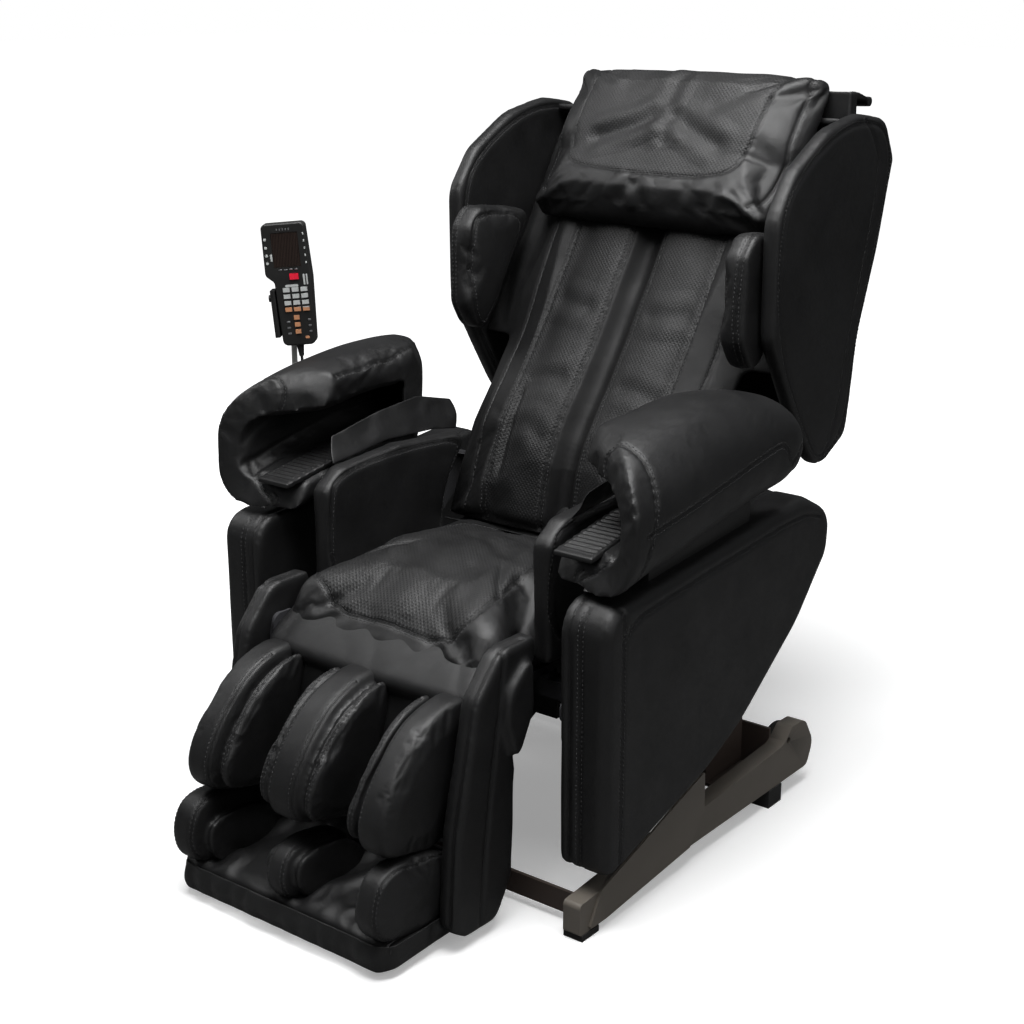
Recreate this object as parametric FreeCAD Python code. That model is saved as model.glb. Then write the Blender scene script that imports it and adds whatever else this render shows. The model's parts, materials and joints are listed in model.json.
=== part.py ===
import FreeCAD, Part
import math
import os
from FreeCAD import Vector

# A reclining massage chair. X runs to the sitter's left, Y from front to back, Z up.
# The origin lies on the floor under the middle of the chair, and all sizes are in millimetres.
# Outlines are lists of (y, z, corner radius), or of (along, out, corner radius) on a tilted part.

# Clearances
slip = 0.3
running_gap = 0.5
soft_gap = 0.3

# Side panels
panel_half_width = 385.0
panel_thickness = 83.0
panel_inner = panel_half_width - panel_thickness
panel_rounding = 16.0
panel_outline = [
    (-299, 86, 26), (-301, 503, 44), (250, 545, 60), (338, 500, 46), (333, 430, 40),
    (240, 331, 260), (80, 214, 300), (-22, 167, 300)]

# Base
rail_width = 30.0
rail_inset = 25.0
rail_half_spread = panel_half_width - rail_inset
rail_foot_height = 10.0
rail_rear_height = 32.0
rail_front = -325.0
rail_outline = [
    (rail_front, rail_foot_height, 4), (rail_front, 60, 8), (5, 84, 40), (258, 99, 30),
    (288, 124, 14), (332, 123, 26), (364, 72, 30), (346, rail_rear_height, 16),
    (-34, rail_rear_height, 30), (-262, rail_foot_height, 30)]
rail_hole_y = 277.0
rail_hole_z = 102.0
rail_hole_radius = 6.0
gusset_thickness = 4.0
gusset_outline = [(-305, 14, 3), (-262, 14, 3), (-36, 34, 3), (4, 82, 3), (2, 150, 3), (-276, 66, 5)]
base_plate = 6.0
front_plate_y = -288.0
front_plate_top = 50.0
rear_plate_y = 262.0
rear_plate_top = 121.0
foot_length = 42.0
front_foot_y = -300.0
rear_foot_y = 235.0
wheel_radius = 45.0
wheel_width = 24.0
wheel_bore = 7.3
wheel_y = 318.0
wheel_z = 64.0

# Tilt pivot between base and seat
tilt_y = 175.0
tilt_z = 160.0
tilt_pin_radius = 11.0
bracket_width = 31.0
bracket_front = 121.0
bracket_rear = 233.0
bracket_foot_z = 58.0

# Seat frame
frame_plate = 8.0
pan_top = 352.0
pan_thickness = 12.0
pan_front = -303.0
pan_rear = 62.0
cross_tube_height = 28.0
cross_tube_depth = 30.0
front_cross_y = -200.0
rear_cross_y = 0.0

# Recline hinge
hinge_y = 110.0
hinge_z = 440.0
hinge_pin_radius = 10.0
back_lean = 33.0

# Seat cushion and hip pads
cushion_side_room = 101.0
cushion_half_width = panel_inner - cushion_side_room
pan_half_width = cushion_half_width
cushion_front = -366.0
cushion_rear = 66.0
cushion_top = 462.0
hip_pad_thickness = 40.0
hip_pad_outline = [
    (-243, 372, 10), (-243, 562, 26), (-200, 592, 30), (-60, 601, 60), (120, 588, 18),
    (58, 498, 20), (46, 372, 10)]

# Armrests
arm_overhang = 29.5
arm_reach_in = 50.0
arm_half_width = panel_half_width + arm_overhang
arm_inner = panel_inner - arm_reach_in
arm_wall = 38.0
arm_lip_inner = arm_inner + 10
arm_front = -292.0
arm_rear = 226.0
arm_slide_slope = 9.5
arm_bottom_front = 512.0
arm_crest = 752.0
arm_crest_y = 40.0
arm_front_fall = 44.0
arm_rear_fall = 62.0
arm_top_pad = 62.0
arm_floor = 42.0
arm_shoulder = 85.0
arm_front_slant = (28.0, 222.0)
arm_rear_inner = 34.0
arm_rear_wall = 32.0
arm_tunnel_end = 150.0
hand_pad_thickness = 10.0
hand_pad_width = 68.0
runner_gap = 1.5
runner_bottom = 498.0
runner_inset = 20.0
runner_inner = panel_inner + runner_inset
runner_width = 40.0
runner_front = -170.0
runner_rear = 110.0

# Backrest, measured along the back from the recline hinge and out from it
pad_bottom = -14.0
pad_top = 758.0
pad_rear = 6.0
pad_edge = 38.0
pad_rounding = 20.0
pad_flank_bottom = 330.0
pad_flank_front = 16.0
wing_thickness = 30.0
wing_half_width = panel_inner + wing_thickness
wing_rounding = 10.0
wing_outline = [
    (214, 790, 60), (212, 985, 60), (262, 1052, 60), (368, 1110, 120), (470, 1130, 120),
    (560, 1116, 40), (600, 1048, 22), (556, 895, 300), (506, 765, 300), (480, 592, 30),
    (384, 545, 50), (318, 625, 80)]
cover_thickness = 12.0
cover_outer = [(494, 1117), (548, 1106), (588, 1046), (545, 895), (495, 765), (470, 606), (400, 566)]
shoulder_pad_thickness = 52.0
pad_side_room = 5.7
bolster_inset = 32.0
pad_half_width = panel_inner - soft_gap - shoulder_pad_thickness - pad_side_room
bolster_half_width = pad_half_width - bolster_inset
pad_profile = [(150, 60, 120), (340, 46, 160), (560, 42, 120)]
shoulder_outline = [
    (171, 792, 40), (175, 930, 30), (208, 964, 30), (366, 944, 20), (266, 780, 20), (214, 722, 30)]
rail_inner = 112.0
rail_wall = 20.0
guide_rear = -70.0
guide_front = -42.0
guide_bottom = 100.0
guide_top = 730.0
top_plate_rear = -48.0
flap_inset = 18.0
flap_half_width = panel_inner - flap_inset
flap_thickness = 5.0
flap_roll = 9.0
flap_line = [(517.8, 1154), (550, 1151), (592, 1139)]
flap_support_depth = 24.0

# Head pillow
pillow_inset = 4.0
pillow_half_width = pad_half_width - pillow_inset
pillow_crown = 700.0
pillow_bottom = 560.0
pillow_top = 857.0
pillow_rear = 49.5
pillow_front = 106.0

# Massage carriage
carriage_middle = 360.0
carriage_height = 84.0
carriage_rear = -102.0
carriage_front = -62.0
arm_pivot_out = -46.0
roller_radius = 24.0
roller_width = 25.0
roller_out = -34.0
roller_spacing = 140.0
roller_arm_x = 62.0
roller_arm_width = 14.0

# Leg rest, measured down the leg rest from its hinge and out in front of it
leg_hinge_y = -350.0
leg_hinge_z = 372.0
leg_slope = 15.0
leg_pin_radius = 8.0
leg_side_room = 3.0
leg_half_width = cushion_half_width - leg_side_room
leg_lug_inner = leg_half_width + 4
leg_lug_thickness = 4.5
leg_cover_inner = leg_half_width + 14
leg_cover_thickness = 32.0
leg_cover_outline = [
    (-275, 437, 10), (-357, 435, 40), (-415, 373, 60), (-459, 178, 120), (-469, 38, 22),
    (-439, 18, 22), (-369, 18, 22), (-331, 78, 40), (-324, 248, 50), (-341, 318, 20),
    (-294, 373, 20), (-275, 403, 8)]
leaf_outline = [(-297, 420, 12), (-371, 362, 60), (-337, 259, 10), (-295, 332, 60)]
leaf_thickness = 13.0
liner_rear = -34.0
liner_front = 21.5
liner_top = 25.0
liner_bottom = 232.0
ridge_outline = [
    (24, liner_front, 4), (34, 48, 16), (78, 110, 50), (138, 152, 60), (204, 176, 28),
    (234, 144, 22), (230, liner_front, 4)]
outer_ridge_width = 64.0
outer_ridge_inner = leg_half_width - outer_ridge_width
centre_ridge_half = 42.0
leg_plate_top = 45.0
leg_plate_bottom = 255.0
leg_plate_rear = -44.0
fork_recess_half = 17.0
fork_recess_depth = 34.0
fork_recess_bottom = 84.0

# Foot section
foot_half_width = leg_half_width + 11
sole_top = 48.0
sole_bottom = 28.0
foot_front = -564.0
foot_rear = -366.0
side_block_width = 54.0
side_block_inner = foot_half_width - side_block_width
foot_centre_half = 30.0
side_block_outline = [
    (-556, sole_top, 4), (-594, 116, 26), (-570, 160, 22), (-495, 153, 60), (-420, 140, 20),
    (-406, sole_top, 8)]
centre_block_outline = [
    (-554, sole_top, 4), (-584, 106, 22), (-558, 138, 20), (-440, 130, 25), (-408, sole_top, 8)]
slide_rod_x = 100.0
slide_rod_radius = 8.0
slide_rod_out = -62.0
slide_rod_top = 62.0
bushing_top = 150.0
bushing_length = 36.0

# Actuators: base pin and rod-end pin in the chair's own Y and Z, at rest
back_actuator_x = 70.0
back_actuator_base = (-130.0, 208.0)
back_actuator_end = (170.0, 355.0)
back_actuator_slot = 9.0
back_rod_inside = 150.0
leg_actuator_x = -70.0
leg_actuator_base = (40.0, 225.0)
leg_actuator_end = (-300.0, 306.0)
leg_actuator_slot = 20.0
leg_rod_inside = 60.0
actuator_radius = 20.0
actuator_rod_radius = 9.0
actuator_pin_radius = 6.0
actuator_mouth = 0.62
fork_window = 12.0

# Boxes under the seat and the mains inlet
electrics_inner = 105.0
supply_width = 96.0
supply_height = 84.0
supply_front_gap = 15.0
supply_rear_gap = 5.0
pump_width = 101.0
pump_height = 72.0
pump_front_gap = 20.0
pump_rear_gap = 20.0
inlet_x = 120.0
inlet_z = 76.0
inlet_width = 74.0
inlet_height = 30.0
inlet_depth = 26.0
rocker_length = 18.0
rocker_width = 12.0

# Handset and its stand, on the sitter's right
stand_side_room = 24.0
stand_x = -arm_half_width - stand_side_room
stand_y = -68.5
stand_radius = 5.0
stand_top = 779.0
stand_foot_z = 452.0
stand_foot_height = 44.0
handset_yaw = 35.0
handset_lean = 5.0
handset_centre = (stand_x + 13.5, -85.0, 847.0)
handset_width = 78.0
handset_height = 206.0
handset_depth = 22.0
handset_waist = 62.0
handset_head = 92.0
relief_length = 20.0
relief_x = 4.0
key_travel = 1.2
key_proud = 2.2

# Handset cord
cord_diameter = 5.0
cord_route = [
    (stand_x + 27, -75.7, 705.9), (stand_x + 15, -77.0, 671.5), (stand_x + 14, -82.0, 627.0),
    (stand_x + 14, -91.0, 575.0), (stand_x + 14.5, -101.0, 523.0), (stand_x + 16, -109.0, 471.0),
    (stand_x + 18, -115.0, 419.0), (stand_x + 20, -118.0, 367.0), (stand_x + 22, -115.0, 317.0),
    (stand_x + 24, -101.0, 275.0), (stand_x + 26.5, -75.0, 252.0), (stand_x + 29, -46.0, 256.0),
    (stand_x + 31, -28.0, 284.0), (stand_x + 32, -23.0, 325.0), (stand_x + 31.5, -25.0, 368.0),
    (stand_x + 30.5, -29.0, 408.0), (stand_x + 30, -31.0, 432.0), (stand_x + 30, -31.0, 452.0)]

sin_lean = math.sin(math.radians(back_lean))
cos_lean = math.cos(math.radians(back_lean))
sin_leg = math.sin(math.radians(leg_slope))
cos_leg = math.cos(math.radians(leg_slope))
frame_plate_inner = panel_inner - frame_plate
wing_inner = wing_half_width - wing_thickness
shoulder_pad_outer = wing_inner - soft_gap
rail_half_inner = rail_half_spread - rail_width


# Placing of flat outlines

def across(x):
    """Puts outline points (y, z) into the upright plane at x."""
    return lambda point: Vector(x, point.x, point.y)


def on_back(x):
    """Puts outline points (up the back, out in front of it) into the plane at x."""
    return lambda point: Vector(
        x, hinge_y + point.x * sin_lean - point.y * cos_lean,
        hinge_z + point.x * cos_lean + point.y * sin_lean)


def on_leg(x):
    """Puts outline points (down the leg rest, out in front of it) into the plane at x."""
    return lambda point: Vector(
        x, leg_hinge_y - point.x * sin_leg - point.y * cos_leg,
        leg_hinge_z - point.x * cos_leg + point.y * sin_leg)


def facing(y):
    """Puts outline points (x, z) into the upright plane at y."""
    return lambda point: Vector(point.x, y, point.y)


def back_point(x, up, out):
    return on_back(x)(Vector(up, out, 0))


def leg_point(x, down, out):
    return on_leg(x)(Vector(down, out, 0))


# Basic shapes

def corner_parts(before, here, after, radius):
    """Start, middle and end of the arc that rounds one corner."""
    back = (before - here).normalize()
    ahead = (after - here).normalize()
    half = back.getAngle(ahead) / 2
    reach = radius / math.tan(half)
    middle = here + (back + ahead).normalize() * (radius / math.sin(half) - radius)
    return here + back * reach, middle, here + ahead * reach


def corner_wire(corners, place):
    """Closed wire through (a, b, radius) corners, each rounded by a tangent arc."""
    points = [Vector(a, b, 0) for a, b, radius in corners]
    count = len(corners)
    arcs = [corner_parts(points[i - 1], points[i], points[(i + 1) % count], corners[i][2])
            for i in range(count)]
    edges = []
    for i, (start, middle, end) in enumerate(arcs):
        if corners[i][2] > 0:
            edges.append(Part.Arc(place(start), place(middle), place(end)).toShape())
        following = arcs[(i + 1) % count][0]
        if (following - end).Length > 1e-6:
            edges.append(Part.makeLine(place(end), place(following)))
    return Part.Wire(edges)


def slab(corners, x0, x1, place=across):
    """The outline as a plate between x0 and x1."""
    face = Part.Face(corner_wire(corners, place(x0)))
    return face.extrude(Vector(x1 - x0, 0, 0))


def round_rims(solid, radius, *planes):
    """Fillets the edges that lie wholly in the planes x = planes."""
    rims = [edge for edge in solid.Edges
            if any(all(abs(v.Point.x - x) < 1e-4 for v in edge.Vertexes) for x in planes)]
    return solid.makeFillet(radius, rims)


def soft_slab(corners, x0, x1, radius, place=across):
    """A padded plate: the outline between x0 and x1 with both rims rounded."""
    return round_rims(slab(corners, x0, x1, place), radius, x0, x1)


def block(x0, x1, y0, y1, z0, z1):
    return Part.makeBox(x1 - x0, y1 - y0, z1 - z0, Vector(x0, y0, z0))


def pin(x0, x1, y, z, radius):
    """A cylinder along X."""
    return Part.makeCylinder(radius, x1 - x0, Vector(x0, y, z), Vector(1, 0, 0))


def rod(start, end, radius):
    """A cylinder from start to end."""
    return Part.makeCylinder(radius, (end - start).Length, start, end - start)


def mirrored(shape):
    return shape.mirror(Vector(0, 0, 0), Vector(1, 0, 0))


def both(shape):
    """The shape and its mirror image as separate solids."""
    return Part.makeCompound([shape, mirrored(shape)])


def loft(wires):
    return Part.makeLoft(wires, True, False)


def export(name, shape):
    shape.exportStep("parts/" + name + ".step")


def export_pair(name, shape):
    """Writes the piece of the sitter's left and its mirror image for the right."""
    export(name + "_left", shape)
    export(name + "_right", mirrored(shape))


# Base

def base_rail():
    rail = slab(rail_outline, rail_half_inner, rail_half_spread)
    stub = pin(rail_half_inner - wheel_width - 4, rail_half_inner, wheel_y, wheel_z, wheel_bore - slip)
    hole = pin(rail_half_spread - 12, rail_half_spread + 1, rail_hole_y, rail_hole_z, rail_hole_radius)
    return rail.fuse(stub).cut(hole)


def foot_pads():
    pads = []
    for y, height in ((front_foot_y, rail_foot_height), (rear_foot_y, rail_rear_height)):
        pad = block(rail_half_inner - 2, rail_half_spread + 2, y - foot_length / 2,
                    y + foot_length / 2, 0, height)
        pads.extend([pad, mirrored(pad)])
    return Part.makeCompound(pads)


def transport_wheel():
    x0 = rail_half_inner - wheel_width - 1
    wheel = pin(x0, x0 + wheel_width, wheel_y, wheel_z, wheel_radius)
    wheel = round_rims(wheel, 5, x0, x0 + wheel_width)
    return wheel.cut(pin(x0 - 1, x0 + wheel_width + 1, wheel_y, wheel_z, wheel_bore))


def tilt_bracket():
    outer = frame_plate_inner - slip
    inner = outer - bracket_width
    outline = [
        (bracket_front, bracket_foot_z, 4), (bracket_front, tilt_z, 30), (tilt_y - 18, tilt_z + 32, 20),
        (tilt_y + 18, tilt_z + 32, 20), (bracket_rear, tilt_z, 30), (bracket_rear, bracket_foot_z, 4)]
    upright = slab(outline, inner, outer)
    flange = block(outer - 2, rail_half_inner, bracket_front, bracket_rear, bracket_foot_z,
                   bracket_foot_z + base_plate)
    hole = pin(inner - 1, outer + 1, tilt_y, tilt_z, tilt_pin_radius + slip)
    return upright.fuse(flange).cut(hole)


def make_base():
    export_pair("base_rail", base_rail())
    export("side_gussets", both(
        slab(gusset_outline, rail_half_spread, rail_half_spread + gusset_thickness)))
    front = block(-rail_half_inner, rail_half_inner, front_plate_y, front_plate_y + base_plate,
                  rail_foot_height + 4, front_plate_top)
    rear = block(-rail_half_inner, rail_half_inner, rear_plate_y, rear_plate_y + base_plate,
                 rail_rear_height + 2, rear_plate_top)
    export("cross_plates", Part.makeCompound([front, rear]))
    export("tilt_brackets", both(tilt_bracket()))
    export("foot_pads", foot_pads())
    export("transport_wheels", both(transport_wheel()))


# Seat unit

def side_panel():
    panel = slab(panel_outline, panel_inner, panel_half_width)
    return round_rims(panel, panel_rounding, panel_half_width)


def frame_side_outline():
    """Side plate of the seat frame: recline hinge on top, tilt pivot below."""
    return [
        (-290, 318, 12), (-290, pan_top - 4, 10), (40, pan_top, 30), (hinge_y - 30, hinge_z + 26, 25),
        (hinge_y + 28, hinge_z + 26, 25), (hinge_y + 34, 400, 30), (tilt_y + 34, 190, 30),
        (tilt_y + 26, tilt_z - 26, 24), (tilt_y - 26, tilt_z - 26, 24), (96, 262, 50), (-120, 300, 60)]


def leg_lug():
    """Plate beside the cushion that carries the leg rest's hinge pin."""
    y, z = leg_hinge_y, leg_hinge_z
    outline = [(-262, pan_top - pan_thickness, 3), (-262, pan_top, 3), (y + 20, z + 18, 16),
               (y - 18, z + 18, 16), (y - 18, z - 18, 16), (y + 18, pan_top - pan_thickness, 8)]
    outer = leg_lug_inner + leg_lug_thickness
    lug = slab(outline, leg_lug_inner, outer)
    foot = block(pan_half_width - 2, outer, pan_front, -262, pan_top - pan_thickness, pan_top)
    return lug.fuse(foot).cut(pin(leg_lug_inner - 1, outer + 1, y, z, leg_pin_radius + slip))


def actuator_hanger(x, y, z):
    """Two cheeks under the seat pan with the fixed pin of an actuator between them."""
    top = pan_top - pan_thickness
    parts = []
    for side in (-1, 1):
        outline = [(y - 14, z - 12, 11), (y - 18, top, 2), (y + 18, top, 2), (y + 14, z - 12, 11)]
        x0 = x + side * 12 - 3
        parts.append(slab(outline, x0, x0 + 6))
    parts.append(pin(x - 12, x + 12, y, z, actuator_pin_radius))
    return parts


def seat_frame():
    plate = slab(frame_side_outline(), frame_plate_inner, panel_inner)
    recline_pin = pin(frame_plate_inner - 14, frame_plate_inner + 1, hinge_y, hinge_z, hinge_pin_radius)
    tilt_pin = pin(frame_plate_inner - bracket_width - 4, frame_plate_inner + 1, tilt_y, tilt_z,
                   tilt_pin_radius)
    side = [plate, recline_pin, tilt_pin, leg_lug()]
    pan_bottom = pan_top - pan_thickness
    frame = block(-pan_half_width, pan_half_width, pan_front, pan_rear, pan_bottom, pan_top)
    for y in (front_cross_y, rear_cross_y):
        frame = frame.fuse(block(
            -frame_plate_inner, frame_plate_inner, y - cross_tube_depth / 2, y + cross_tube_depth / 2,
            pan_bottom - cross_tube_height, pan_bottom))
    parts = side + [mirrored(shape) for shape in side]
    parts += actuator_hanger(back_actuator_x, *back_actuator_base)
    parts += actuator_hanger(leg_actuator_x, *leg_actuator_base)
    return frame.multiFuse(parts).removeSplitter()


def seat_section(x, swell, inset):
    """Side profile of the seat cushion: a rounded nose, a crowned top and a lower rear end."""
    corners = [
        (cushion_front + 34 + inset, pan_top, 14), (cushion_front + inset, pan_top + 34, 24),
        (cushion_front + 44 + inset, cushion_top - 12 + swell, 44), (-150, cushion_top + 8 + swell, 200),
        (cushion_rear - inset, cushion_top - 8 + swell, 24), (cushion_rear - inset, pan_top, 8)]
    return corner_wire(corners, across(x))


def seat_cushion():
    half = cushion_half_width
    shape = [(-half, -34, 9), (-half + 26, -8, 1), (-120, 4, 0), (-70, -2, 0), (0, 2, 0),
             (70, -2, 0), (120, 4, 0), (half - 26, -8, 1), (half, -34, 9)]
    return loft([seat_section(*station) for station in shape])


def hip_pad():
    inner = cushion_half_width + soft_gap
    return soft_slab(hip_pad_outline, inner, inner + hip_pad_thickness, 12)


def arm_bottom(y):
    """Height of the armrest's underside."""
    return arm_bottom_front + (y - arm_front) * math.tan(math.radians(arm_slide_slope))


def arm_top(y):
    """Height of the armrest's top: nearly level, then rounded off to the rear."""
    if y < arm_crest_y:
        fall = (arm_crest_y - y) / (arm_crest_y - arm_front)
        return arm_crest - arm_front_fall * fall ** 2.2
    fall = (y - arm_crest_y) / (arm_rear - arm_crest_y)
    return arm_crest - arm_rear_fall * fall ** 2


def arm_section(y, inset):
    """Outer profile of the armrest, seen from the front."""
    bottom = arm_bottom(y) + inset
    top = arm_top(y) - inset
    inner = arm_inner + inset
    outer = arm_half_width - inset
    radius = min(arm_shoulder, (top - bottom) * 0.42)
    corners = [(inner, bottom, 20), (inner, top - 8, 24), (outer, top, radius),
               (outer, bottom, radius * 0.8)]
    return corner_wire(corners, facing(y))


def tunnel_section(y):
    """Profile of the forearm tunnel, open to the inside."""
    bottom = arm_bottom(y) + arm_floor
    top = arm_top(y) - arm_top_pad
    outer = arm_half_width - arm_wall
    radius = min(40, 0.45 * (top - bottom))
    corners = [(arm_inner - 20, bottom, 2), (arm_inner - 20, top, 2), (outer, top, radius),
               (outer, bottom, radius)]
    return corner_wire(corners, facing(y))


def armrest():
    stations = [(arm_front, 12), (arm_front + 14, 1), (arm_front + 32, 0), (-160, 0), (0, 0), (100, 0),
                (180, 6), (arm_rear, 30)]
    body = loft([arm_section(y, inset) for y, inset in stations])
    tunnel = loft([tunnel_section(y) for y in (arm_front - 20, -160, 0, arm_tunnel_end)])
    tunnel = tunnel.cut(arm_rear_cutter(-arm_rear_wall))
    return body.cut(tunnel).cut(arm_front_cutter()).cut(arm_rear_cutter(0))


def arm_front_cutter():
    """Removes the front of the armrest so that its face slants back to the sitter's side."""
    wires = []
    for z, slant in zip((480, 790), arm_front_slant):
        points = [(arm_half_width + 15.5, arm_front - 4), (arm_inner - 52, arm_front - 4 + slant),
                  (arm_inner - 52, arm_front - 48), (arm_half_width + 15.5, arm_front - 48)]
        wires.append(Part.makePolygon([Vector(x, y, z) for x, y in points + points[:1]]))
    return loft(wires)


def arm_rear_cutter(shift):
    """Removes the armrest's rear corner on the sitter's side."""
    points = [(arm_inner - 12, arm_rear_inner - 12 + shift), (arm_half_width + 6, arm_rear + 8 + shift),
              (arm_half_width + 6, arm_rear + 194), (arm_inner - 52, arm_rear + 194),
              (arm_inner - 52, arm_rear_inner - 12 + shift)]
    wire = Part.makePolygon([Vector(x, y, 440) for x, y in points + points[:1]])
    return Part.Face(wire).extrude(Vector(0, 0, 400))


def hand_pad():
    """Palm air pad on the armrest's lower lip."""
    x0 = arm_lip_inner + 2
    outline = [(y, arm_bottom(y) + arm_floor + lift, 3) for y, lift in (
        (-268, 0), (-268, hand_pad_thickness), (-110, hand_pad_thickness), (-110, 0))]
    return slab(outline, x0, x0 + hand_pad_width)


def arm_runner():
    """Wedge between the side panel's top and the armrest, along which the armrest slides."""
    outline = [(runner_front, runner_bottom, 2), (runner_front, arm_bottom(runner_front) - runner_gap, 2),
               (runner_rear, arm_bottom(runner_rear) - runner_gap, 2), (runner_rear, runner_bottom + 2, 2)]
    wedge = slab(outline, runner_inner, runner_inner + runner_width)
    return wedge.cut(side_panel())


def make_seat():
    export("seat_frame", seat_frame())
    export_pair("side_panel", side_panel())
    export("seat_cushion", seat_cushion())
    export_pair("hip_pad", hip_pad())
    export("armrest_runners", both(arm_runner()))
    arm = armrest()
    export_pair("armrest", arm)
    export("hand_pads", both(hand_pad()))


# Electrics

def under_pan(x0, x1, height, front_gap, rear_gap):
    """Box that hangs under the seat pan, between the two cross tubes."""
    top = pan_top - pan_thickness
    half = cross_tube_depth / 2
    return block(x0, x1, front_cross_y + half + front_gap, rear_cross_y - half - rear_gap, top - height, top)


def supply_box():
    return under_pan(electrics_inner, electrics_inner + supply_width, supply_height,
                     supply_front_gap, supply_rear_gap)


def air_pump():
    return under_pan(-electrics_inner - pump_width, -electrics_inner, pump_height,
                     pump_front_gap, pump_rear_gap)


def inlet_housing():
    """Mains inlet and switch housing on the rear plate."""
    y0 = rear_plate_y + base_plate
    body = block(inlet_x - inlet_width / 2, inlet_x + inlet_width / 2, y0, y0 + inlet_depth,
                 inlet_z - inlet_height / 2, inlet_z + inlet_height / 2)
    socket = block(inlet_x - 32, inlet_x - 5, y0 + 6, y0 + inlet_depth + 1, inlet_z - 10, inlet_z + 10)
    window = block(inlet_x + 8, inlet_x + 8 + rocker_length + 2 * slip, y0 + inlet_depth - 12,
                   y0 + inlet_depth + 1, inlet_z - rocker_width / 2 - slip, inlet_z + rocker_width / 2 + slip)
    pins = [block(inlet_x - 19 + dx, inlet_x - 17.5 + dx, y0 + 5, y0 + inlet_depth - 4,
                  inlet_z - 3 + dz, inlet_z + 3 + dz) for dx, dz in ((-7, -2), (0, 3), (7, -2))]
    return body.cut(socket).cut(window).multiFuse(pins)


def rocker():
    """Power rocker, which tips about an upright line through its middle."""
    middle = inlet_x + 8 + slip + rocker_length / 2
    y1 = rear_plate_y + base_plate + inlet_depth
    half = rocker_length / 2
    points = [(middle - half, y1 - 2.5), (middle - half + 1, y1 + 3), (middle, y1 + 0.5),
              (middle + half - 1, y1 + 3), (middle + half, y1 - 2.5), (middle, y1 - 9)]
    wire = Part.makePolygon([Vector(x, y, inlet_z - rocker_width / 2) for x, y in points + points[:1]])
    return Part.Face(wire).extrude(Vector(0, 0, rocker_width))


def make_electrics():
    export("control_box", supply_box())
    export("air_pump", air_pump())
    export("power_inlet", inlet_housing())
    export("power_rocker", rocker())


# Backrest

def back_frame():
    """Hinge plates, two cross plates and the two guide rails of the massage carriage."""
    plate_outer = frame_plate_inner - slip
    plate_inner = plate_outer - frame_plate
    hinge = [(-24, -24, 23), (-24, 24, 23), (guide_bottom + frame_plate, pad_rear - slip, 3),
             (guide_bottom + frame_plate, guide_rear, 3)]
    lug = slab(hinge, plate_inner, plate_outer, on_back)
    lug = lug.cut(pin(plate_inner - 1, plate_outer + 1, hinge_y, hinge_z, hinge_pin_radius + slip))
    rail = slab([(guide_bottom, guide_rear, 0), (guide_bottom, guide_front, 0), (guide_top, guide_front, 0),
                 (guide_top, guide_rear, 0)], rail_inner, rail_inner + rail_wall, on_back)
    parts = [mirrored(lug), rail, mirrored(rail)]
    for up, half, rear in ((guide_bottom, plate_outer, guide_rear),
                           (guide_top - frame_plate, wing_inner, top_plate_rear)):
        corners = [(up, rear, 0), (up, pad_rear - slip, 0), (up + frame_plate, pad_rear - slip, 0),
                   (up + frame_plate, rear, 0)]
        parts.append(slab(corners, -half, half, on_back))
    parts += recline_lug()
    return lug.multiFuse(parts).removeSplitter()


def recline_lug():
    """Plate on the lower cross plate with the pin that the recline actuator pulls."""
    y, z = back_actuator_end
    up = (y - hinge_y) * sin_lean + (z - hinge_z) * cos_lean
    out = -(y - hinge_y) * cos_lean + (z - hinge_z) * sin_lean
    corners = [(up - 12, out - 12, 11), (up - 12, out + 12, 11), (guide_bottom + 2, -30, 0),
               (guide_bottom + 2, guide_rear, 0)]
    x = back_actuator_x
    return [slab(corners, x - 4, x + 4, on_back), pin(x - 13, x + 13, y, z, actuator_pin_radius)]


def wing():
    return soft_slab(wing_outline, wing_inner, wing_half_width, wing_rounding)


def offset_line(points, distance):
    """The open line of (y, z) points moved to its right by distance."""
    moved = []
    for i, point in enumerate(points):
        here = Vector(point[0], point[1], 0)
        ways = []
        if i > 0:
            ways.append((here - Vector(points[i - 1][0], points[i - 1][1], 0)).normalize())
        if i < len(points) - 1:
            ways.append((Vector(points[i + 1][0], points[i + 1][1], 0) - here).normalize())
        way = Vector(0, 0, 0)
        for direction in ways:
            way = way + direction
        way = way.normalize()
        stretch = 1 / way.dot(ways[0])
        moved.append((here.x + way.y * distance * stretch, here.y - way.x * distance * stretch))
    return moved


def rear_cover():
    """Bent rear cover between the two wings."""
    inner = offset_line(cover_outer, cover_thickness)
    corners = [(y, z, 0.5) for y, z in cover_outer] + [(y, z, 0.5) for y, z in reversed(inner)]
    rounded = [(y, z, 22 if 0 < i % len(cover_outer) < len(cover_outer) - 1 else 2)
               for i, (y, z, radius) in enumerate(corners)]
    return slab(rounded, -wing_inner, wing_inner)


def pad_section(x, swell, inset):
    """Side profile of the back pad, with its lumbar bulge."""
    edge = pad_edge + swell
    rounding = min(pad_rounding, 0.6 * (edge - pad_rear))
    corners = [
        (pad_bottom + inset, pad_rear, 1), (pad_bottom + inset, edge, rounding),
        *[(up, out + swell, radius) for up, out, radius in pad_profile],
        (pad_top - inset, edge, rounding), (pad_top - inset, pad_rear, 1)]
    return corner_wire(corners, on_back(x))


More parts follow.
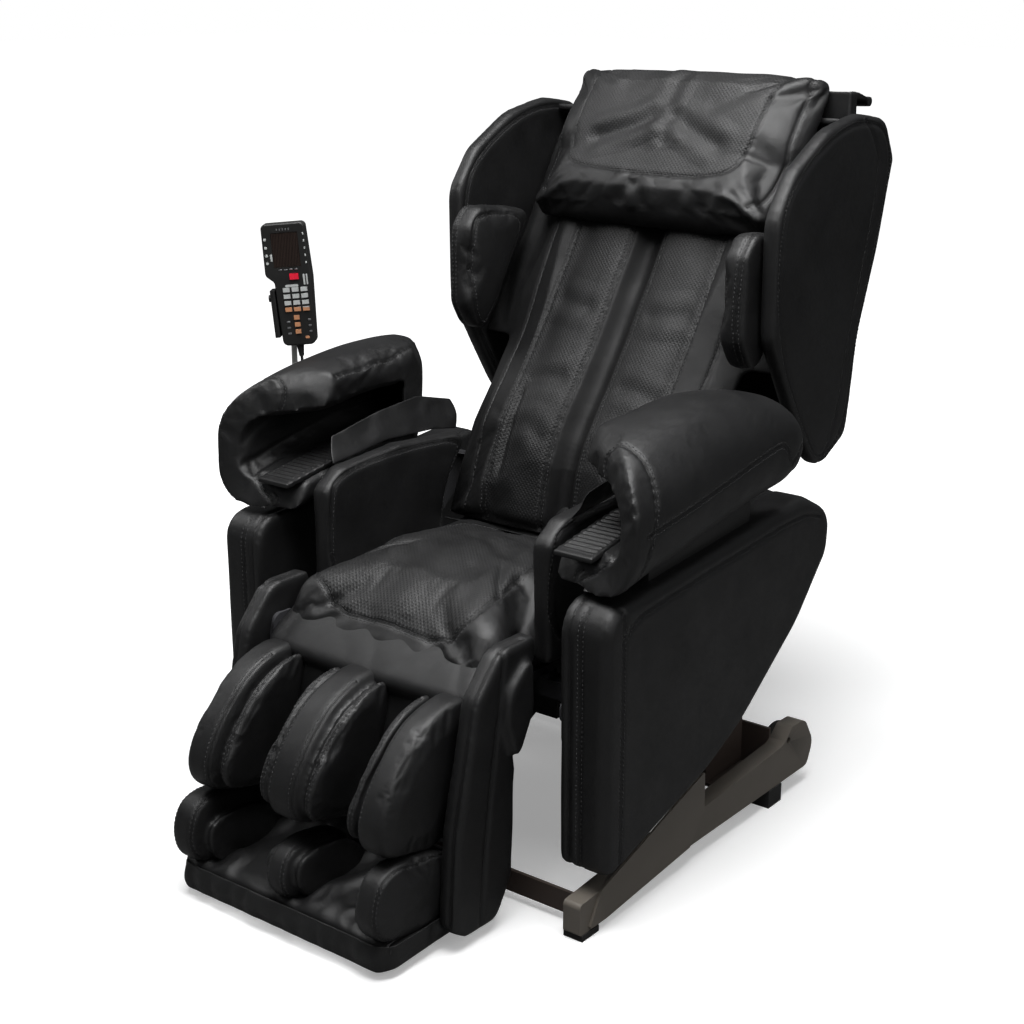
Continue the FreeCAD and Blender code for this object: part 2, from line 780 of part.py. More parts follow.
def back_pad():
    half = pad_half_width
    shape = [(0.12, -3), (0.29, 5), (0.5, 3), (0.66, -3), (0.88, 7), (1, -6)]
    right = [(share * bolster_half_width, swell, 0) for share, swell in shape]
    right += [(bolster_half_width + 16, -20, 0), (half - 6, -25, 1), (half, -28, 4)]
    stations = [(-x, swell, inset) for x, swell, inset in reversed(right)] + [(0, -7, 0)] + right
    pad = loft([pad_section(*station) for station in stations])
    flank = slab([(pad_flank_bottom, pad_rear, 3), (pad_flank_bottom, pad_flank_front, 6),
                  (pad_top - 12, pad_flank_front, 6), (pad_top - 12, pad_rear, 3)],
                 half - 4, shoulder_pad_outer, on_back)
    return pad.multiFuse([flank, mirrored(flank)])


def shoulder_pad():
    outer = shoulder_pad_outer
    return soft_slab(shoulder_outline, outer - shoulder_pad_thickness, outer, 14)


def cover_top(y):
    """Height of the rear cover's upper face."""
    (y0, z0), (y1, z1) = cover_outer[:2]
    return z0 + (z1 - z0) * (y - y0) / (y1 - y0)


def head_flap():
    """Leather flap over the top of the back, with a rolled hem at its rear edge."""
    upper = offset_line(flap_line, -flap_thickness)
    corners = [(y, z, 1) for y, z in flap_line] + [(y, z, 1) for y, z in reversed(upper)]
    sheet = slab(corners, -flap_half_width, flap_half_width)
    roll = pin(-flap_half_width, flap_half_width, *flap_line[-1], flap_roll)
    support_front = flap_line[0][0]
    support_rear = support_front + flap_support_depth
    support_top = flap_line[0][1] + flap_thickness - 1
    support = slab([
        (support_front, cover_top(support_front) + soft_gap, 1), (support_front, support_top, 3),
        (support_rear, support_top, 3), (support_rear, cover_top(support_rear) + soft_gap, 1)],
        -flap_half_width, flap_half_width)
    return sheet.multiFuse([roll, support]).removeSplitter()


def make_back():
    export("back_frame", back_frame())
    export_pair("back_wing", wing())
    export("rear_cover", rear_cover())
    export("back_pad", back_pad())
    export_pair("shoulder_pad", shoulder_pad())
    export("head_flap", head_flap())


# Head pillow

def pillow_section(x, swell, inset):
    front = pillow_front + swell
    corners = [
        (pillow_bottom + inset, pillow_rear + 6, 5), (pillow_bottom + 4 + inset, front - 10, 14),
        (pillow_crown, front + 8, 160), (pillow_top - 20 - inset, front - 4, 20),
        (pillow_top - 10 - inset, pillow_rear + 10, 10), (pillow_top - 24 - inset, pillow_rear, 8),
        (pillow_bottom + 24 + inset, pillow_rear, 10)]
    return corner_wire(corners, on_back(x))


def head_pillow():
    half = pillow_half_width
    right = [(0.29 * half, 1, 0), (0.56 * half, 0, 0), (0.79 * half, -4, 1), (half - 20, -10, 3),
             (half - 6, -22, 8), (half, -32, 14)]
    stations = [(-x, swell, inset) for x, swell, inset in reversed(right)] + [(0, 2, 0)] + right
    return loft([pillow_section(*station) for station in stations])


# Massage mechanism

def carriage():
    """Gearbox block that rides between the guide rails, with two motors and the arm lugs."""
    half = rail_inner - slip
    low = carriage_middle - carriage_height / 2
    high = carriage_middle + carriage_height / 2
    parts = []
    for side in (-1, 1):
        shoe = [(low, guide_rear + 2, 0), (low, guide_front - 2, 0), (high, guide_front - 2, 0),
                (high, guide_rear + 2, 0)]
        edges = sorted((side * (half - 10), side * half))
        parts.append(slab(shoe, edges[0], edges[1], on_back))
        lug = [(carriage_middle - 11, carriage_front - 1, 0), (carriage_middle - 11, arm_pivot_out + 8, 7),
               (carriage_middle + 11, arm_pivot_out + 8, 7), (carriage_middle + 11, carriage_front - 1, 0)]
        x0 = side * (roller_arm_x + roller_arm_width + 5) - 4
        parts.append(slab(lug, x0, x0 + 8, on_back))
        pivot = back_point(0, carriage_middle, arm_pivot_out)
        ends = sorted((side * (roller_arm_x - 4), x0 + 4))
        parts.append(pin(ends[0], ends[1], pivot.y, pivot.z, 6))
    body = slab([(low, carriage_rear, 4), (low, carriage_front, 4), (high, carriage_front, 4),
                 (high, carriage_rear, 4)], -half, half, on_back)
    return body.multiFuse(parts).removeSplitter()


def roller_arm():
    """Curved arm that carries an upper and a lower roller and rocks on the carriage."""
    reach = roller_spacing / 2
    middle = carriage_middle
    corners = [
        (middle - reach - 8, roller_out - 8, 7), (middle - reach - 8, roller_out + 8, 7),
        (middle, arm_pivot_out + 14, 60), (middle + reach + 8, roller_out + 8, 7),
        (middle + reach + 8, roller_out - 8, 7), (middle, arm_pivot_out - 12, 60)]
    arm = slab(corners, roller_arm_x, roller_arm_x + roller_arm_width, on_back)
    pivot = back_point(0, middle, arm_pivot_out)
    arm = arm.cut(pin(roller_arm_x - 1, roller_arm_x + 30, pivot.y, pivot.z, 6 + slip))
    axles = []
    for side in (-1, 1):
        axle = back_point(0, middle + side * reach, roller_out)
        axles.append(pin(roller_arm_x - roller_width - 4, roller_arm_x + 1, axle.y, axle.z, 5))
    return arm.multiFuse(axles)


def massage_roller(up):
    middle = back_point(0, up, roller_out)
    x1 = roller_arm_x - 1
    x0 = x1 - roller_width
    roller = round_rims(pin(x0, x1, middle.y, middle.z, roller_radius), 8, x0, x1)
    return roller.cut(pin(x0 - 1, x1 + 1, middle.y, middle.z, 5 + slip))


def make_mechanism():
    export("massage_carriage", carriage())
    export_pair("roller_arm", roller_arm())
    export_pair("upper_roller", massage_roller(carriage_middle + roller_spacing / 2))
    export_pair("lower_roller", massage_roller(carriage_middle - roller_spacing / 2))


# Actuators

def actuator_axis(base, end):
    start = Vector(0, base[0], base[1])
    finish = Vector(0, end[0], end[1])
    return start, finish, (finish - start).normalize()


def actuator_body(x, base, end):
    """Cylinder with an eye on the fixed pin and a bore that is open at the rod's end."""
    start, finish, way = actuator_axis(base, end)
    shift = Vector(x, 0, 0)
    mouth = (finish - start).Length * actuator_mouth
    eye = pin(-7, 7, start.y, start.z, 13)
    neck = rod(start + way * 8, start + way * 30, 9)
    barrel = rod(start + way * 28, start + way * mouth, actuator_radius)
    bore = rod(start + way * 44, start + way * (mouth + 1), actuator_rod_radius + running_gap)
    motor = rod(start + way * 40 + Vector(0, way.z, -way.y) * 30,
                start + way * 120 + Vector(0, way.z, -way.y) * 30, 14)
    body = eye.multiFuse([neck, barrel, motor]).cut(bore)
    body = body.cut(pin(-8, 8, start.y, start.z, actuator_pin_radius + slip))
    body.translate(shift)
    return body


def actuator_rod(x, base, end, slot, inside):
    """Rod with a slotted fork round the moving pin."""
    start, finish, way = actuator_axis(base, end)
    side = Vector(0, -way.z, way.y)
    rear = start + way * inside
    stem = rod(rear, finish - way * 26, actuator_rod_radius)
    cheeks = []
    reach = slot + actuator_pin_radius + 6
    for centre in (-9, 9):
        points = [finish + side * reach * a + way * b for a, b in ((-1, -18), (-1, 18), (1, 18), (1, -18))]
        wire = Part.makePolygon([p + Vector(centre - 3, 0, 0) for p in points + points[:1]])
        cheeks.append(Part.Face(wire).extrude(Vector(6, 0, 0)))
    points = [finish + side * reach * a + way * b for a, b in ((-1, -30), (-1, -17), (1, -17), (1, -30))]
    wire = Part.makePolygon([p + Vector(-12, 0, 0) for p in points + points[:1]])
    bridge = Part.Face(wire).extrude(Vector(24, 0, 0))
    slot_points = [finish + side * (slot + actuator_pin_radius + 1) * a + way * b
                   for a, b in ((-1, -fork_window), (-1, fork_window), (1, fork_window), (1, -fork_window))]
    wire = Part.makePolygon([p + Vector(-14, 0, 0) for p in slot_points + slot_points[:1]])
    window = Part.Face(wire).extrude(Vector(28, 0, 0))
    body = stem.multiFuse(cheeks + [bridge]).cut(window)
    body.translate(Vector(x, 0, 0))
    return body


def make_actuators():
    export("recline_actuator", actuator_body(back_actuator_x, back_actuator_base, back_actuator_end))
    export("recline_rod", actuator_rod(
        back_actuator_x, back_actuator_base, back_actuator_end, back_actuator_slot, back_rod_inside))
    export("leg_actuator", actuator_body(leg_actuator_x, leg_actuator_base, leg_actuator_end))
    export("leg_rod", actuator_rod(
        leg_actuator_x, leg_actuator_base, leg_actuator_end, leg_actuator_slot, leg_rod_inside))


# Leg rest

def leg_cover():
    outer = leg_cover_inner + leg_cover_thickness
    cover = round_rims(slab(leg_cover_outline, leg_cover_inner, outer), 7, outer)
    leaf = round_rims(slab(leaf_outline, outer - 1, outer + leaf_thickness), 6, outer + leaf_thickness)
    return cover.fuse(leaf)


def leg_frame():
    plate = slab([(leg_plate_top, leg_plate_rear, 2), (leg_plate_top, liner_rear, 2),
                  (leg_plate_bottom, liner_rear, 2), (leg_plate_bottom, leg_plate_rear, 2)],
                 -leg_cover_inner, leg_cover_inner, on_leg)
    lug = slab([(-17, -17, 16), (-17, 17, 16), (leg_plate_top + 20, 8, 4), (leg_plate_top + 20, -28, 4)],
               leg_lug_inner + leg_lug_thickness + running_gap, leg_cover_inner, on_leg)
    hinge_pin = pin(leg_lug_inner - 1, leg_cover_inner - 1, leg_hinge_y, leg_hinge_z, leg_pin_radius)
    bushing = slab([(bushing_top, slide_rod_out - 14, 4), (bushing_top, leg_plate_rear + 1, 0),
                    (bushing_top + bushing_length, leg_plate_rear + 1, 0),
                    (bushing_top + bushing_length, slide_rod_out - 14, 4)],
                   slide_rod_x - 14, slide_rod_x + 14, on_leg)
    parts = [lug, hinge_pin, bushing]
    parts += [mirrored(shape) for shape in (lug, hinge_pin, bushing)]
    parts += leg_lift_lug()
    frame = plate.cut(fork_recess(fork_recess_depth)).multiFuse(parts)
    for side in (-1, 1):
        x = side * slide_rod_x
        frame = frame.cut(rod(leg_point(x, bushing_top - 5, slide_rod_out),
                              leg_point(x, bushing_top + bushing_length + 5, slide_rod_out),
                              slide_rod_radius + running_gap))
    return frame.removeSplitter()


def fork_recess(depth):
    """Room behind the leg rest for the fork of the leg actuator's rod."""
    corners = [(liner_top - 10, leg_plate_rear - 1, 0), (liner_top - 10, leg_plate_rear + depth, 0),
               (fork_recess_bottom, leg_plate_rear + depth, 0), (fork_recess_bottom, leg_plate_rear - 1, 0)]
    return slab(corners, leg_actuator_x - fork_recess_half, leg_actuator_x + fork_recess_half, on_leg)


def leg_lift_lug():
    """Plate behind the leg frame with the pin that the leg actuator pushes."""
    y, z = leg_actuator_end
    down = -(y - leg_hinge_y) * sin_leg - (z - leg_hinge_z) * cos_leg
    out = -(y - leg_hinge_y) * cos_leg + (z - leg_hinge_z) * sin_leg
    x = leg_actuator_x
    corners = [(down - 10, out - 10, 9), (down - 10, out + 8, 2), (fork_recess_bottom + 2, leg_plate_rear + 1, 0),
               (fork_recess_bottom + 40, leg_plate_rear + 1, 0), (down + 10, out - 10, 9)]
    return [slab(corners, x - 4, x + 4, on_leg), pin(x - 13, x + 13, y, z, actuator_pin_radius)]


def calf_liner():
    corners = [(liner_top, liner_rear, 4), (liner_top, liner_front, 8), (liner_bottom, liner_front, 4),
               (liner_bottom, liner_rear, 4)]
    liner = slab(corners, -leg_half_width, leg_half_width, on_leg)
    return liner.cut(fork_recess(fork_recess_depth))


def make_leg():
    export("leg_frame", leg_frame())
    export_pair("leg_cover", leg_cover())
    export("calf_liner", calf_liner())
    export_pair("calf_pad", soft_slab(ridge_outline, outer_ridge_inner, leg_half_width, 14, on_leg))
    export("calf_pad_centre", soft_slab(
        ridge_outline, -centre_ridge_half, centre_ridge_half, 14, on_leg))


# Foot section

def foot_tray():
    outline = [(foot_front + 4, sole_bottom, 8), (foot_front - 4, sole_top, 5), (-404, sole_top, 10),
               (-390, 110, 5), (-376, 108, 5), (foot_rear, sole_bottom, 12)]
    tray = slab(outline, -foot_half_width, foot_half_width)
    rods = [rod(leg_point(side * slide_rod_x, slide_rod_top, slide_rod_out),
                leg_point(side * slide_rod_x, 330, slide_rod_out), slide_rod_radius) for side in (-1, 1)]
    return tray.multiFuse(rods)


def make_foot():
    export("foot_tray", foot_tray())
    block_shape = round_rims(slab(side_block_outline, side_block_inner, foot_half_width), 12,
                             side_block_inner, foot_half_width)
    export("foot_side_pads", both(block_shape))
    export("foot_centre_pad", round_rims(
        slab(centre_block_outline, -foot_centre_half, foot_centre_half), 12,
        -foot_centre_half, foot_centre_half))


# Handset

def handset_place(shape):
    """Moves a shape from the handset's own frame: X along its face, Y into it, Z up."""
    shape.rotate(Vector(0, 0, 0), Vector(0, 1, 0), -handset_lean)
    shape.rotate(Vector(0, 0, 0), Vector(0, 0, 1), handset_yaw)
    shape.translate(Vector(*handset_centre))
    return shape


def face_outline():
    """Front outline of the handset: a wide head over a narrower grip."""
    left = -handset_width / 2
    right = handset_width / 2
    top = handset_height / 2
    neck = top - handset_head
    grip = right - handset_waist
    return [(left + 2, top, 8), (right - 3, top, 8), (right, neck, 60), (right - 6, -top, 10),
            (grip, -top, 10), (grip - 2, neck - 6, 8), (left, neck + 6, 10)]


def handset_block(corners, y0, y1):
    face = Part.Face(corner_wire(corners, facing(y0)))
    return face.extrude(Vector(0, y1 - y0, 0))


def program_key_places():
    return [(x, z) for z in (-8, -19, -30, -41) for x in (-6, 9, 24)]


def key_block(x, z, width, height, grow=0.0):
    front = -handset_depth / 2
    depth = key_travel + key_proud + 1 + (1 if grow else 0)
    return block(x - width / 2 - grow, x + width / 2 + grow, front - key_proud, front - key_proud + depth + grow,
                 z - height / 2 - grow, z + height / 2 + grow)


def key_shapes(grow=0.0):
    stop = key_block(10, 14, 15, 10, grow)
    programs = [key_block(x, z, 11, 7, grow) for x, z in program_key_places()]
    arrows = [key_block(x, z, 9, 7, grow) for x, z in ((6, -55), (6, -67), (6, -79))]
    return [stop], programs, arrows


def handset_body():
    body = handset_block(face_outline(), -handset_depth / 2, handset_depth / 2)
    stop, programs, arrows = key_shapes(slip)
    body = body.makeFillet(3, [edge for edge in body.Edges if all(
        abs(v.Point.y + handset_depth / 2) < 1e-4 for v in edge.Vertexes)])
    for key in stop + programs + arrows:
        body = body.cut(key)
    screen = block(-22, 24, -handset_depth / 2 - 1, -handset_depth / 2 + 2, 30, 88)
    return body.cut(screen)


def handset_screen():
    front = -handset_depth / 2
    return block(-22 + slip, 24 - slip, front + 0.6, front + 2, 30 + slip, 88 - slip)


def relief():
    """Tapered strain relief under the handset."""
    foot = Vector(relief_x, 0, -handset_height / 2 - relief_length)
    return Part.makeCone(cord_diameter / 2 + 1.6, 6.5, relief_length, foot, Vector(0, 0, 1))


def relief_tip():
    """Where the cord leaves the strain relief, and the way it points."""
    tip = Part.Vertex(Vector(relief_x, 0, -handset_height / 2 - relief_length))
    above = Part.Vertex(Vector(relief_x, 0, -handset_height / 2))
    handset_place(tip)
    handset_place(above)
    return tip.Point, (tip.Point - above.Point).normalize()


def handset_holder():
    """Cradle round the lower left of the handset's grip, with its clamp on the pole and a knob."""
    grip = handset_width / 2 - handset_waist
    depth = handset_depth / 2
    plate = block(grip - 2, handset_width / 2 - 12, depth + slip, depth + slip + 5, -88, -8)
    cheek = block(grip - 12, grip - 4, -depth + 2, depth + slip + 5, -88, -8)
    join = block(grip - 6, grip, depth + slip, depth + slip + 5, -88, -8)
    knob = Part.makeCylinder(6, 5, Vector(grip - 16, 0, -22), Vector(1, 0, 0))
    cradle = handset_place(plate.multiFuse([cheek, join, knob]))
    boss = Part.makeCylinder(stand_radius + 3.5, 46, Vector(stand_x, stand_y, stand_top - 26))
    bore = Part.makeCylinder(stand_radius + slip, 27, Vector(stand_x, stand_y, stand_top - 27 + slip))
    return cradle.fuse(boss).cut(bore).removeSplitter()


def stand():
    """White pole on a foot that is fixed to the outer face of the side panel."""
    pole = Part.makeCylinder(stand_radius, stand_top - stand_foot_z, Vector(stand_x, stand_y, stand_foot_z))
    foot = block(stand_x - 9, -panel_half_width, stand_y - 16, stand_y + 16, stand_foot_z,
                 stand_foot_z + stand_foot_height)
    foot = foot.makeFillet(6, [edge for edge in foot.Edges if all(
        abs(v.Point.x - stand_x + 9) < 1e-4 for v in edge.Vertexes)])
    gland = Part.makeCylinder(cord_diameter / 2 + 2.5, 24, Vector(*cord_end()), Vector(0, 0, 1))
    arm = block(cord_end()[0] - 3, -panel_half_width, cord_end()[1] - 6, cord_end()[1] + 6,
                cord_end()[2] + 8, cord_end()[2] + 20)
    return pole.multiFuse([foot, gland, arm]).removeSplitter()


def cord_end():
    """Bottom of the gland beside the stand's foot, where the cord goes in."""
    return cord_route[-1]


def cord_path(points):
    """Straight runs joined by tangent arcs, and the radii of the arcs."""
    edges = []
    radii = []
    at = points[0]
    for i in range(1, len(points) - 1):
        here = points[i]
        back = points[i - 1] - here
        ahead = points[i + 1] - here
        turn = math.pi - back.getAngle(ahead)
        radius = 0.45 * min(back.Length, ahead.Length) / math.tan(turn / 2)
        start, middle, end = corner_parts(points[i - 1], here, points[i + 1], radius)
        edges.append(Part.LineSegment(at, start).toShape())
        edges.append(Part.Arc(start, middle, end).toShape())
        radii.append(radius)
        at = end
    edges.append(Part.LineSegment(at, points[-1]).toShape())
    return Part.Wire(edges), radii


def handset_cord():
    tip, way = relief_tip()
    start = tip + way * slip
    points = [start] + [Vector(*point) for point in cord_route]
    path, radii = cord_path(points)
    first = path.Edges[0]
    ring = Part.Wire(Part.Circle(start, first.tangentAt(first.FirstParameter), cord_diameter / 2).toShape())
    tube = path.makePipeShell([ring], True, False)
    expected = math.pi * cord_diameter ** 2 / 4 * path.Length
    print("cord length %.0f, volume ratio %.4f" % (path.Length, tube.Volume / expected))
    print("cord radii", " ".join("%.0f" % radius for radius in radii))
    return tube


def make_handset():
    export("handset_stand", stand())
    export("handset_holder", handset_holder())
    export("handset_body", handset_place(handset_body()))
    export("handset_screen", handset_place(handset_screen()))
    stop, programs, arrows = key_shapes()
    export("stop_key", handset_place(stop[0]))
    export("program_keys", handset_place(Part.makeCompound(programs)))
    export("arrow_keys", handset_place(Part.makeCompound(arrows)))
    export("cord_relief", handset_place(relief()))
    export("handset_cord", handset_cord())


def main():
    os.makedirs("parts", exist_ok=True)
    make_base()
    make_seat()
    make_electrics()
    make_back()
    export("head_pillow", head_pillow())
    make_mechanism()
    make_actuators()
    make_leg()
    make_foot()
    make_handset()


if __name__ == "__main__":
    main()
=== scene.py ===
import json
import math

import bmesh
import bpy
import numpy as np
from bpy.props import FloatProperty, FloatVectorProperty, IntProperty, PointerProperty
from mathutils import Matrix, Vector, noise
from mathutils.bvhtree import BVHTree


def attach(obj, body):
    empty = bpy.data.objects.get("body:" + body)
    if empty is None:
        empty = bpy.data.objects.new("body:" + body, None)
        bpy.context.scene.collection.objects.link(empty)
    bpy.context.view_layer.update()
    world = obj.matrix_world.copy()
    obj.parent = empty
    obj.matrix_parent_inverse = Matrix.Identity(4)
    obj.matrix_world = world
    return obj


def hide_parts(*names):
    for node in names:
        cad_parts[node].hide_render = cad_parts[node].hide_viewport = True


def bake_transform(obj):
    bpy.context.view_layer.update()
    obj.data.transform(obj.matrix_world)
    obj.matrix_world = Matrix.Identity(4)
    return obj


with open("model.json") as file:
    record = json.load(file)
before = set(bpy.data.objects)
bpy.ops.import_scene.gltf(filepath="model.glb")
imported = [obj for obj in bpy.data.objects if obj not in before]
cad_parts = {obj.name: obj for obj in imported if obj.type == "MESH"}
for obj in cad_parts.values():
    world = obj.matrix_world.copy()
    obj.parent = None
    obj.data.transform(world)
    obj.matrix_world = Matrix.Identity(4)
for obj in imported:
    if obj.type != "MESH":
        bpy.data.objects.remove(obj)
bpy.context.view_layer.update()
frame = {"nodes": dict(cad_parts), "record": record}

bl_info = {
    "name": "Massage Chair",
    "version": (1, 0, 0),
    "blender": (4, 5, 0),
    "location": "View3D > Sidebar > Massage Chair",
    "description": "Upholstery, finishes, handset cord and studio of a leather massage chair",
    "category": "Object",
}

MM = 0.001
LINE_STEP = 2.5
BODY_OF = {node: body for body, nodes in frame["record"]["behaviour"]["bodies"].items() for node in nodes}
BACK_LEAN = math.radians(33)
LEG_SLOPE = math.radians(15)


# Sizes and colours that a user would change

class LeatherSettings(bpy.types.PropertyGroup):
    colour: FloatVectorProperty(
        name="Leather", description="Colour of the leather", subtype="COLOR", size=3,
        default=(0.0085, 0.0085, 0.0088), min=0, max=1)
    # Paler colour for sharp convex edges: partly worn leather, partly a painted edge sheen.
    worn_colour: FloatVectorProperty(
        name="Worn edges", description="Colour of the leather on rubbed edges", subtype="COLOR", size=3,
        default=(0.02, 0.02, 0.0205), min=0, max=1)
    thread_colour: FloatVectorProperty(
        name="Thread", description="Colour of the stitches", subtype="COLOR", size=3,
        default=(0.03, 0.03, 0.031), min=0, max=1)
    roughness: FloatProperty(
        name="Roughness", description="Roughness of smooth leather", default=0.42, min=0.1, max=1)
    grain: FloatProperty(
        name="Grain", description="Width of one pebble of the grain", default=0.0017, min=0.0005,
        max=0.01, unit="LENGTH")
    hole_pitch: FloatProperty(
        name="Hole pitch", description="Distance between perforation holes", default=0.005, min=0.002,
        max=0.02, unit="LENGTH")


class SewingSettings(bpy.types.PropertyGroup):
    stitch: FloatProperty(
        name="Stitch", description="Length of one stitch", default=0.0048, min=0.002, max=0.01,
        unit="LENGTH")
    pitch: FloatProperty(
        name="Stitch pitch", description="Distance from stitch to stitch", default=0.0068, min=0.003,
        max=0.02, unit="LENGTH")
    thread: FloatProperty(
        name="Thread radius", description="Radius of the sewing thread", default=0.0006, min=0.0002,
        max=0.002, unit="LENGTH")
    row: FloatProperty(
        name="Row distance", description="Distance of a stitch row from its seam", default=0.0052,
        min=0.002, max=0.02, unit="LENGTH")
    seam_width: FloatProperty(
        name="Seam width", description="Half width of the dip along a seam", default=0.0046, min=0.001,
        max=0.02, unit="LENGTH")
    seam_depth: FloatProperty(
        name="Seam depth", description="Depth of the dip along a seam", default=0.0026, min=0,
        max=0.01, unit="LENGTH")


class PaddingSettings(bpy.types.PropertyGroup):
    voxel: FloatProperty(
        name="Mesh step", description="Step of the even mesh of a padded piece", default=0.006,
        min=0.003, max=0.02, unit="LENGTH")
    pressure: FloatProperty(
        name="Pressure", description="Pressure of the filling", default=4, min=0, max=20)
    frames: IntProperty(
        name="Frames", description="Steps of the filling's simulation", default=20, min=2, max=60)
    smoothing: IntProperty(
        name="Smoothing", description="Rounds of smoothing of the cut edges", default=4, min=0, max=20)


class TrimSettings(bpy.types.PropertyGroup):
    base_colour: FloatVectorProperty(
        name="Base", description="Paint of the base rails", subtype="COLOR", size=3,
        default=(0.082, 0.073, 0.062), min=0, max=1)
    handset_colour: FloatVectorProperty(
        name="Handset", description="Plastic of the handset", subtype="COLOR", size=3,
        default=(0.016, 0.016, 0.0155), min=0, max=1)
    cord_diameter: FloatProperty(
        name="Cord", description="Diameter of the handset cord", default=0.005, min=0.003, max=0.01,
        unit="LENGTH")


class StudioSettings(bpy.types.PropertyGroup):
    floor_colour: FloatVectorProperty(
        name="Floor", description="Colour of the floor", subtype="COLOR", size=3,
        default=(0.94, 0.94, 0.94), min=0, max=1)
    floor_glow: FloatProperty(
        name="Floor glow", description="Light of the floor itself, as of a lit table", default=0.3,
        min=0, max=2)
    daylight: FloatProperty(
        name="Surround", description="Strength of the light of the room", default=0.1, min=0, max=10)
    top_light: FloatProperty(
        name="Top light", description="Power of the large light above", default=125, min=0, max=2000)
    left_light: FloatProperty(
        name="Left light", description="Power of the soft light at the left", default=22, min=0, max=2000)
    right_light: FloatProperty(
        name="Right light", description="Power of the soft light at the right", default=14, min=0, max=2000)


# Finishes

class Finish:
    """A material while its nodes are added and joined."""

    def __init__(self, name):
        self.material = bpy.data.materials.new(name)
        self.material.use_nodes = True
        self.tree = self.material.node_tree
        self.shader = self.tree.nodes["Principled BSDF"]
        self.place = self.add("ShaderNodeTexCoord").outputs["Object"]

    def add(self, kind, inputs=None, **settings):
        node = self.tree.nodes.new(kind)
        for key, value in settings.items():
            setattr(node, key, value)
        for key, value in (inputs or {}).items():
            self.feed(node.inputs[key], value)
        return node

    def feed(self, socket, value):
        if isinstance(value, bpy.types.NodeSocket):
            self.tree.links.new(value, socket)
        else:
            socket.default_value = value

    def shade(self, **inputs):
        for key, value in inputs.items():
            self.feed(self.shader.inputs[key.replace("_", " ")], value)

    def cloud(self, scale, detail=3.0, place=None):
        node = self.add("ShaderNodeTexNoise", {
            "Vector": place or self.place, "Scale": scale, "Detail": detail, "Roughness": 0.55})
        return node.outputs["Fac"]

    def ramp(self, factor, low, high, start=0.35, end=0.65):
        node = self.add("ShaderNodeValToRGB", {"Fac": factor})
        for element, position, colour in zip(node.color_ramp.elements, (start, end), (low, high)):
            element.position = position
            element.color = (*colour, 1)
        return node.outputs["Color"]

    def spread(self, value, low, high, to_low=0.0, to_high=1.0):
        node = self.add("ShaderNodeMapRange", {
            "Value": value, "From Min": low, "From Max": high, "To Min": to_low, "To Max": to_high})
        return node.outputs["Result"]

    def mixed(self, factor, first, second):
        node = self.add("ShaderNodeMix", data_type="RGBA")
        self.feed(node.inputs["Factor"], factor)
        self.feed(node.inputs[6], first)
        self.feed(node.inputs[7], second)
        return node.outputs[2]

    def bump(self, height, strength, distance, before=None):
        inputs = {"Height": height, "Strength": strength, "Distance": distance}
        if before:
            inputs["Normal"] = before
        return self.add("ShaderNodeBump", inputs).outputs["Normal"]

    def edges(self):
        """Where the surface is sharply convex, as on rubbed edges."""
        return self.spread(self.add("ShaderNodeNewGeometry").outputs["Pointiness"], 0.515, 0.6)


def scaled(colour, share):
    return tuple(min(1, share * value) for value in colour)


def leather(name, tone=1.0, perforated=None, rough=0.0, gloss=0.5):
    """Pebbled leather with soft creases, paler on rubbed edges, and holed where perforated gives a turn."""
    look = bpy.context.scene.chair_leather
    finish = Finish(name)
    # tone scales the colour: darker copies of this leather are painted shade, lighter copies are painted
    # light.
    colour = finish.ramp(
        finish.cloud(6, 5), scaled(look.colour, 0.78 * tone), scaled(look.colour, 1.3 * tone))
    # Paler on sharp edges: partly wear, partly painted sheen.
    colour = finish.mixed(finish.edges(), colour, (*scaled(look.worn_colour, tone), 1))
    pebbles = finish.add("ShaderNodeTexVoronoi", {
        "Vector": finish.place, "Scale": 1 / look.grain}, feature="DISTANCE_TO_EDGE").outputs["Distance"]
    pebbles = finish.spread(pebbles, 0.0, 0.16)
    normal = finish.bump(finish.cloud(38, 5), 0.22, 0.003)
    normal = finish.bump(pebbles, 0.32, 0.0004, normal)
    roughness = finish.spread(
        finish.cloud(17, 3), 0.3, 0.7, look.roughness + rough - 0.05, look.roughness + rough + 0.09)
    if perforated is not None:
        turned = finish.add("ShaderNodeMapping", {"Vector": finish.place, "Rotation": perforated})
        diagonal = finish.add("ShaderNodeMapping", {
            "Vector": turned.outputs["Vector"], "Rotation": (0, 0, math.radians(45))})
        holes = finish.add("ShaderNodeTexVoronoi", {
            "Vector": diagonal.outputs["Vector"], "Scale": 1 / look.hole_pitch, "Randomness": 0.04},
            voronoi_dimensions="2D").outputs["Distance"]
        open_part = finish.spread(holes, 0.32, 0.22)
        colour = finish.mixed(open_part, colour, (0.0015, 0.0015, 0.0015, 1))
        normal = finish.bump(finish.spread(holes, 0.2, 0.4), 0.6, 0.0006, normal)
    finish.shade(Base_Color=colour, Roughness=roughness, Normal=normal, Specular_IOR_Level=gloss)
    return finish.material


def thread():
    """Twisted sewing thread."""
    look = bpy.context.scene.chair_leather
    finish = Finish("sewing_thread")
    twist = finish.add("ShaderNodeTexWave", {"Vector": finish.place, "Scale": 420, "Distortion": 1.5})
    colour = finish.ramp(
        twist.outputs["Fac"], scaled(look.thread_colour, 0.6), scaled(look.thread_colour, 1.5), 0.2, 0.8)
    finish.shade(Base_Color=colour, Roughness=0.62,
                 Normal=finish.bump(twist.outputs["Fac"], 0.5, 0.0003))
    return finish.material


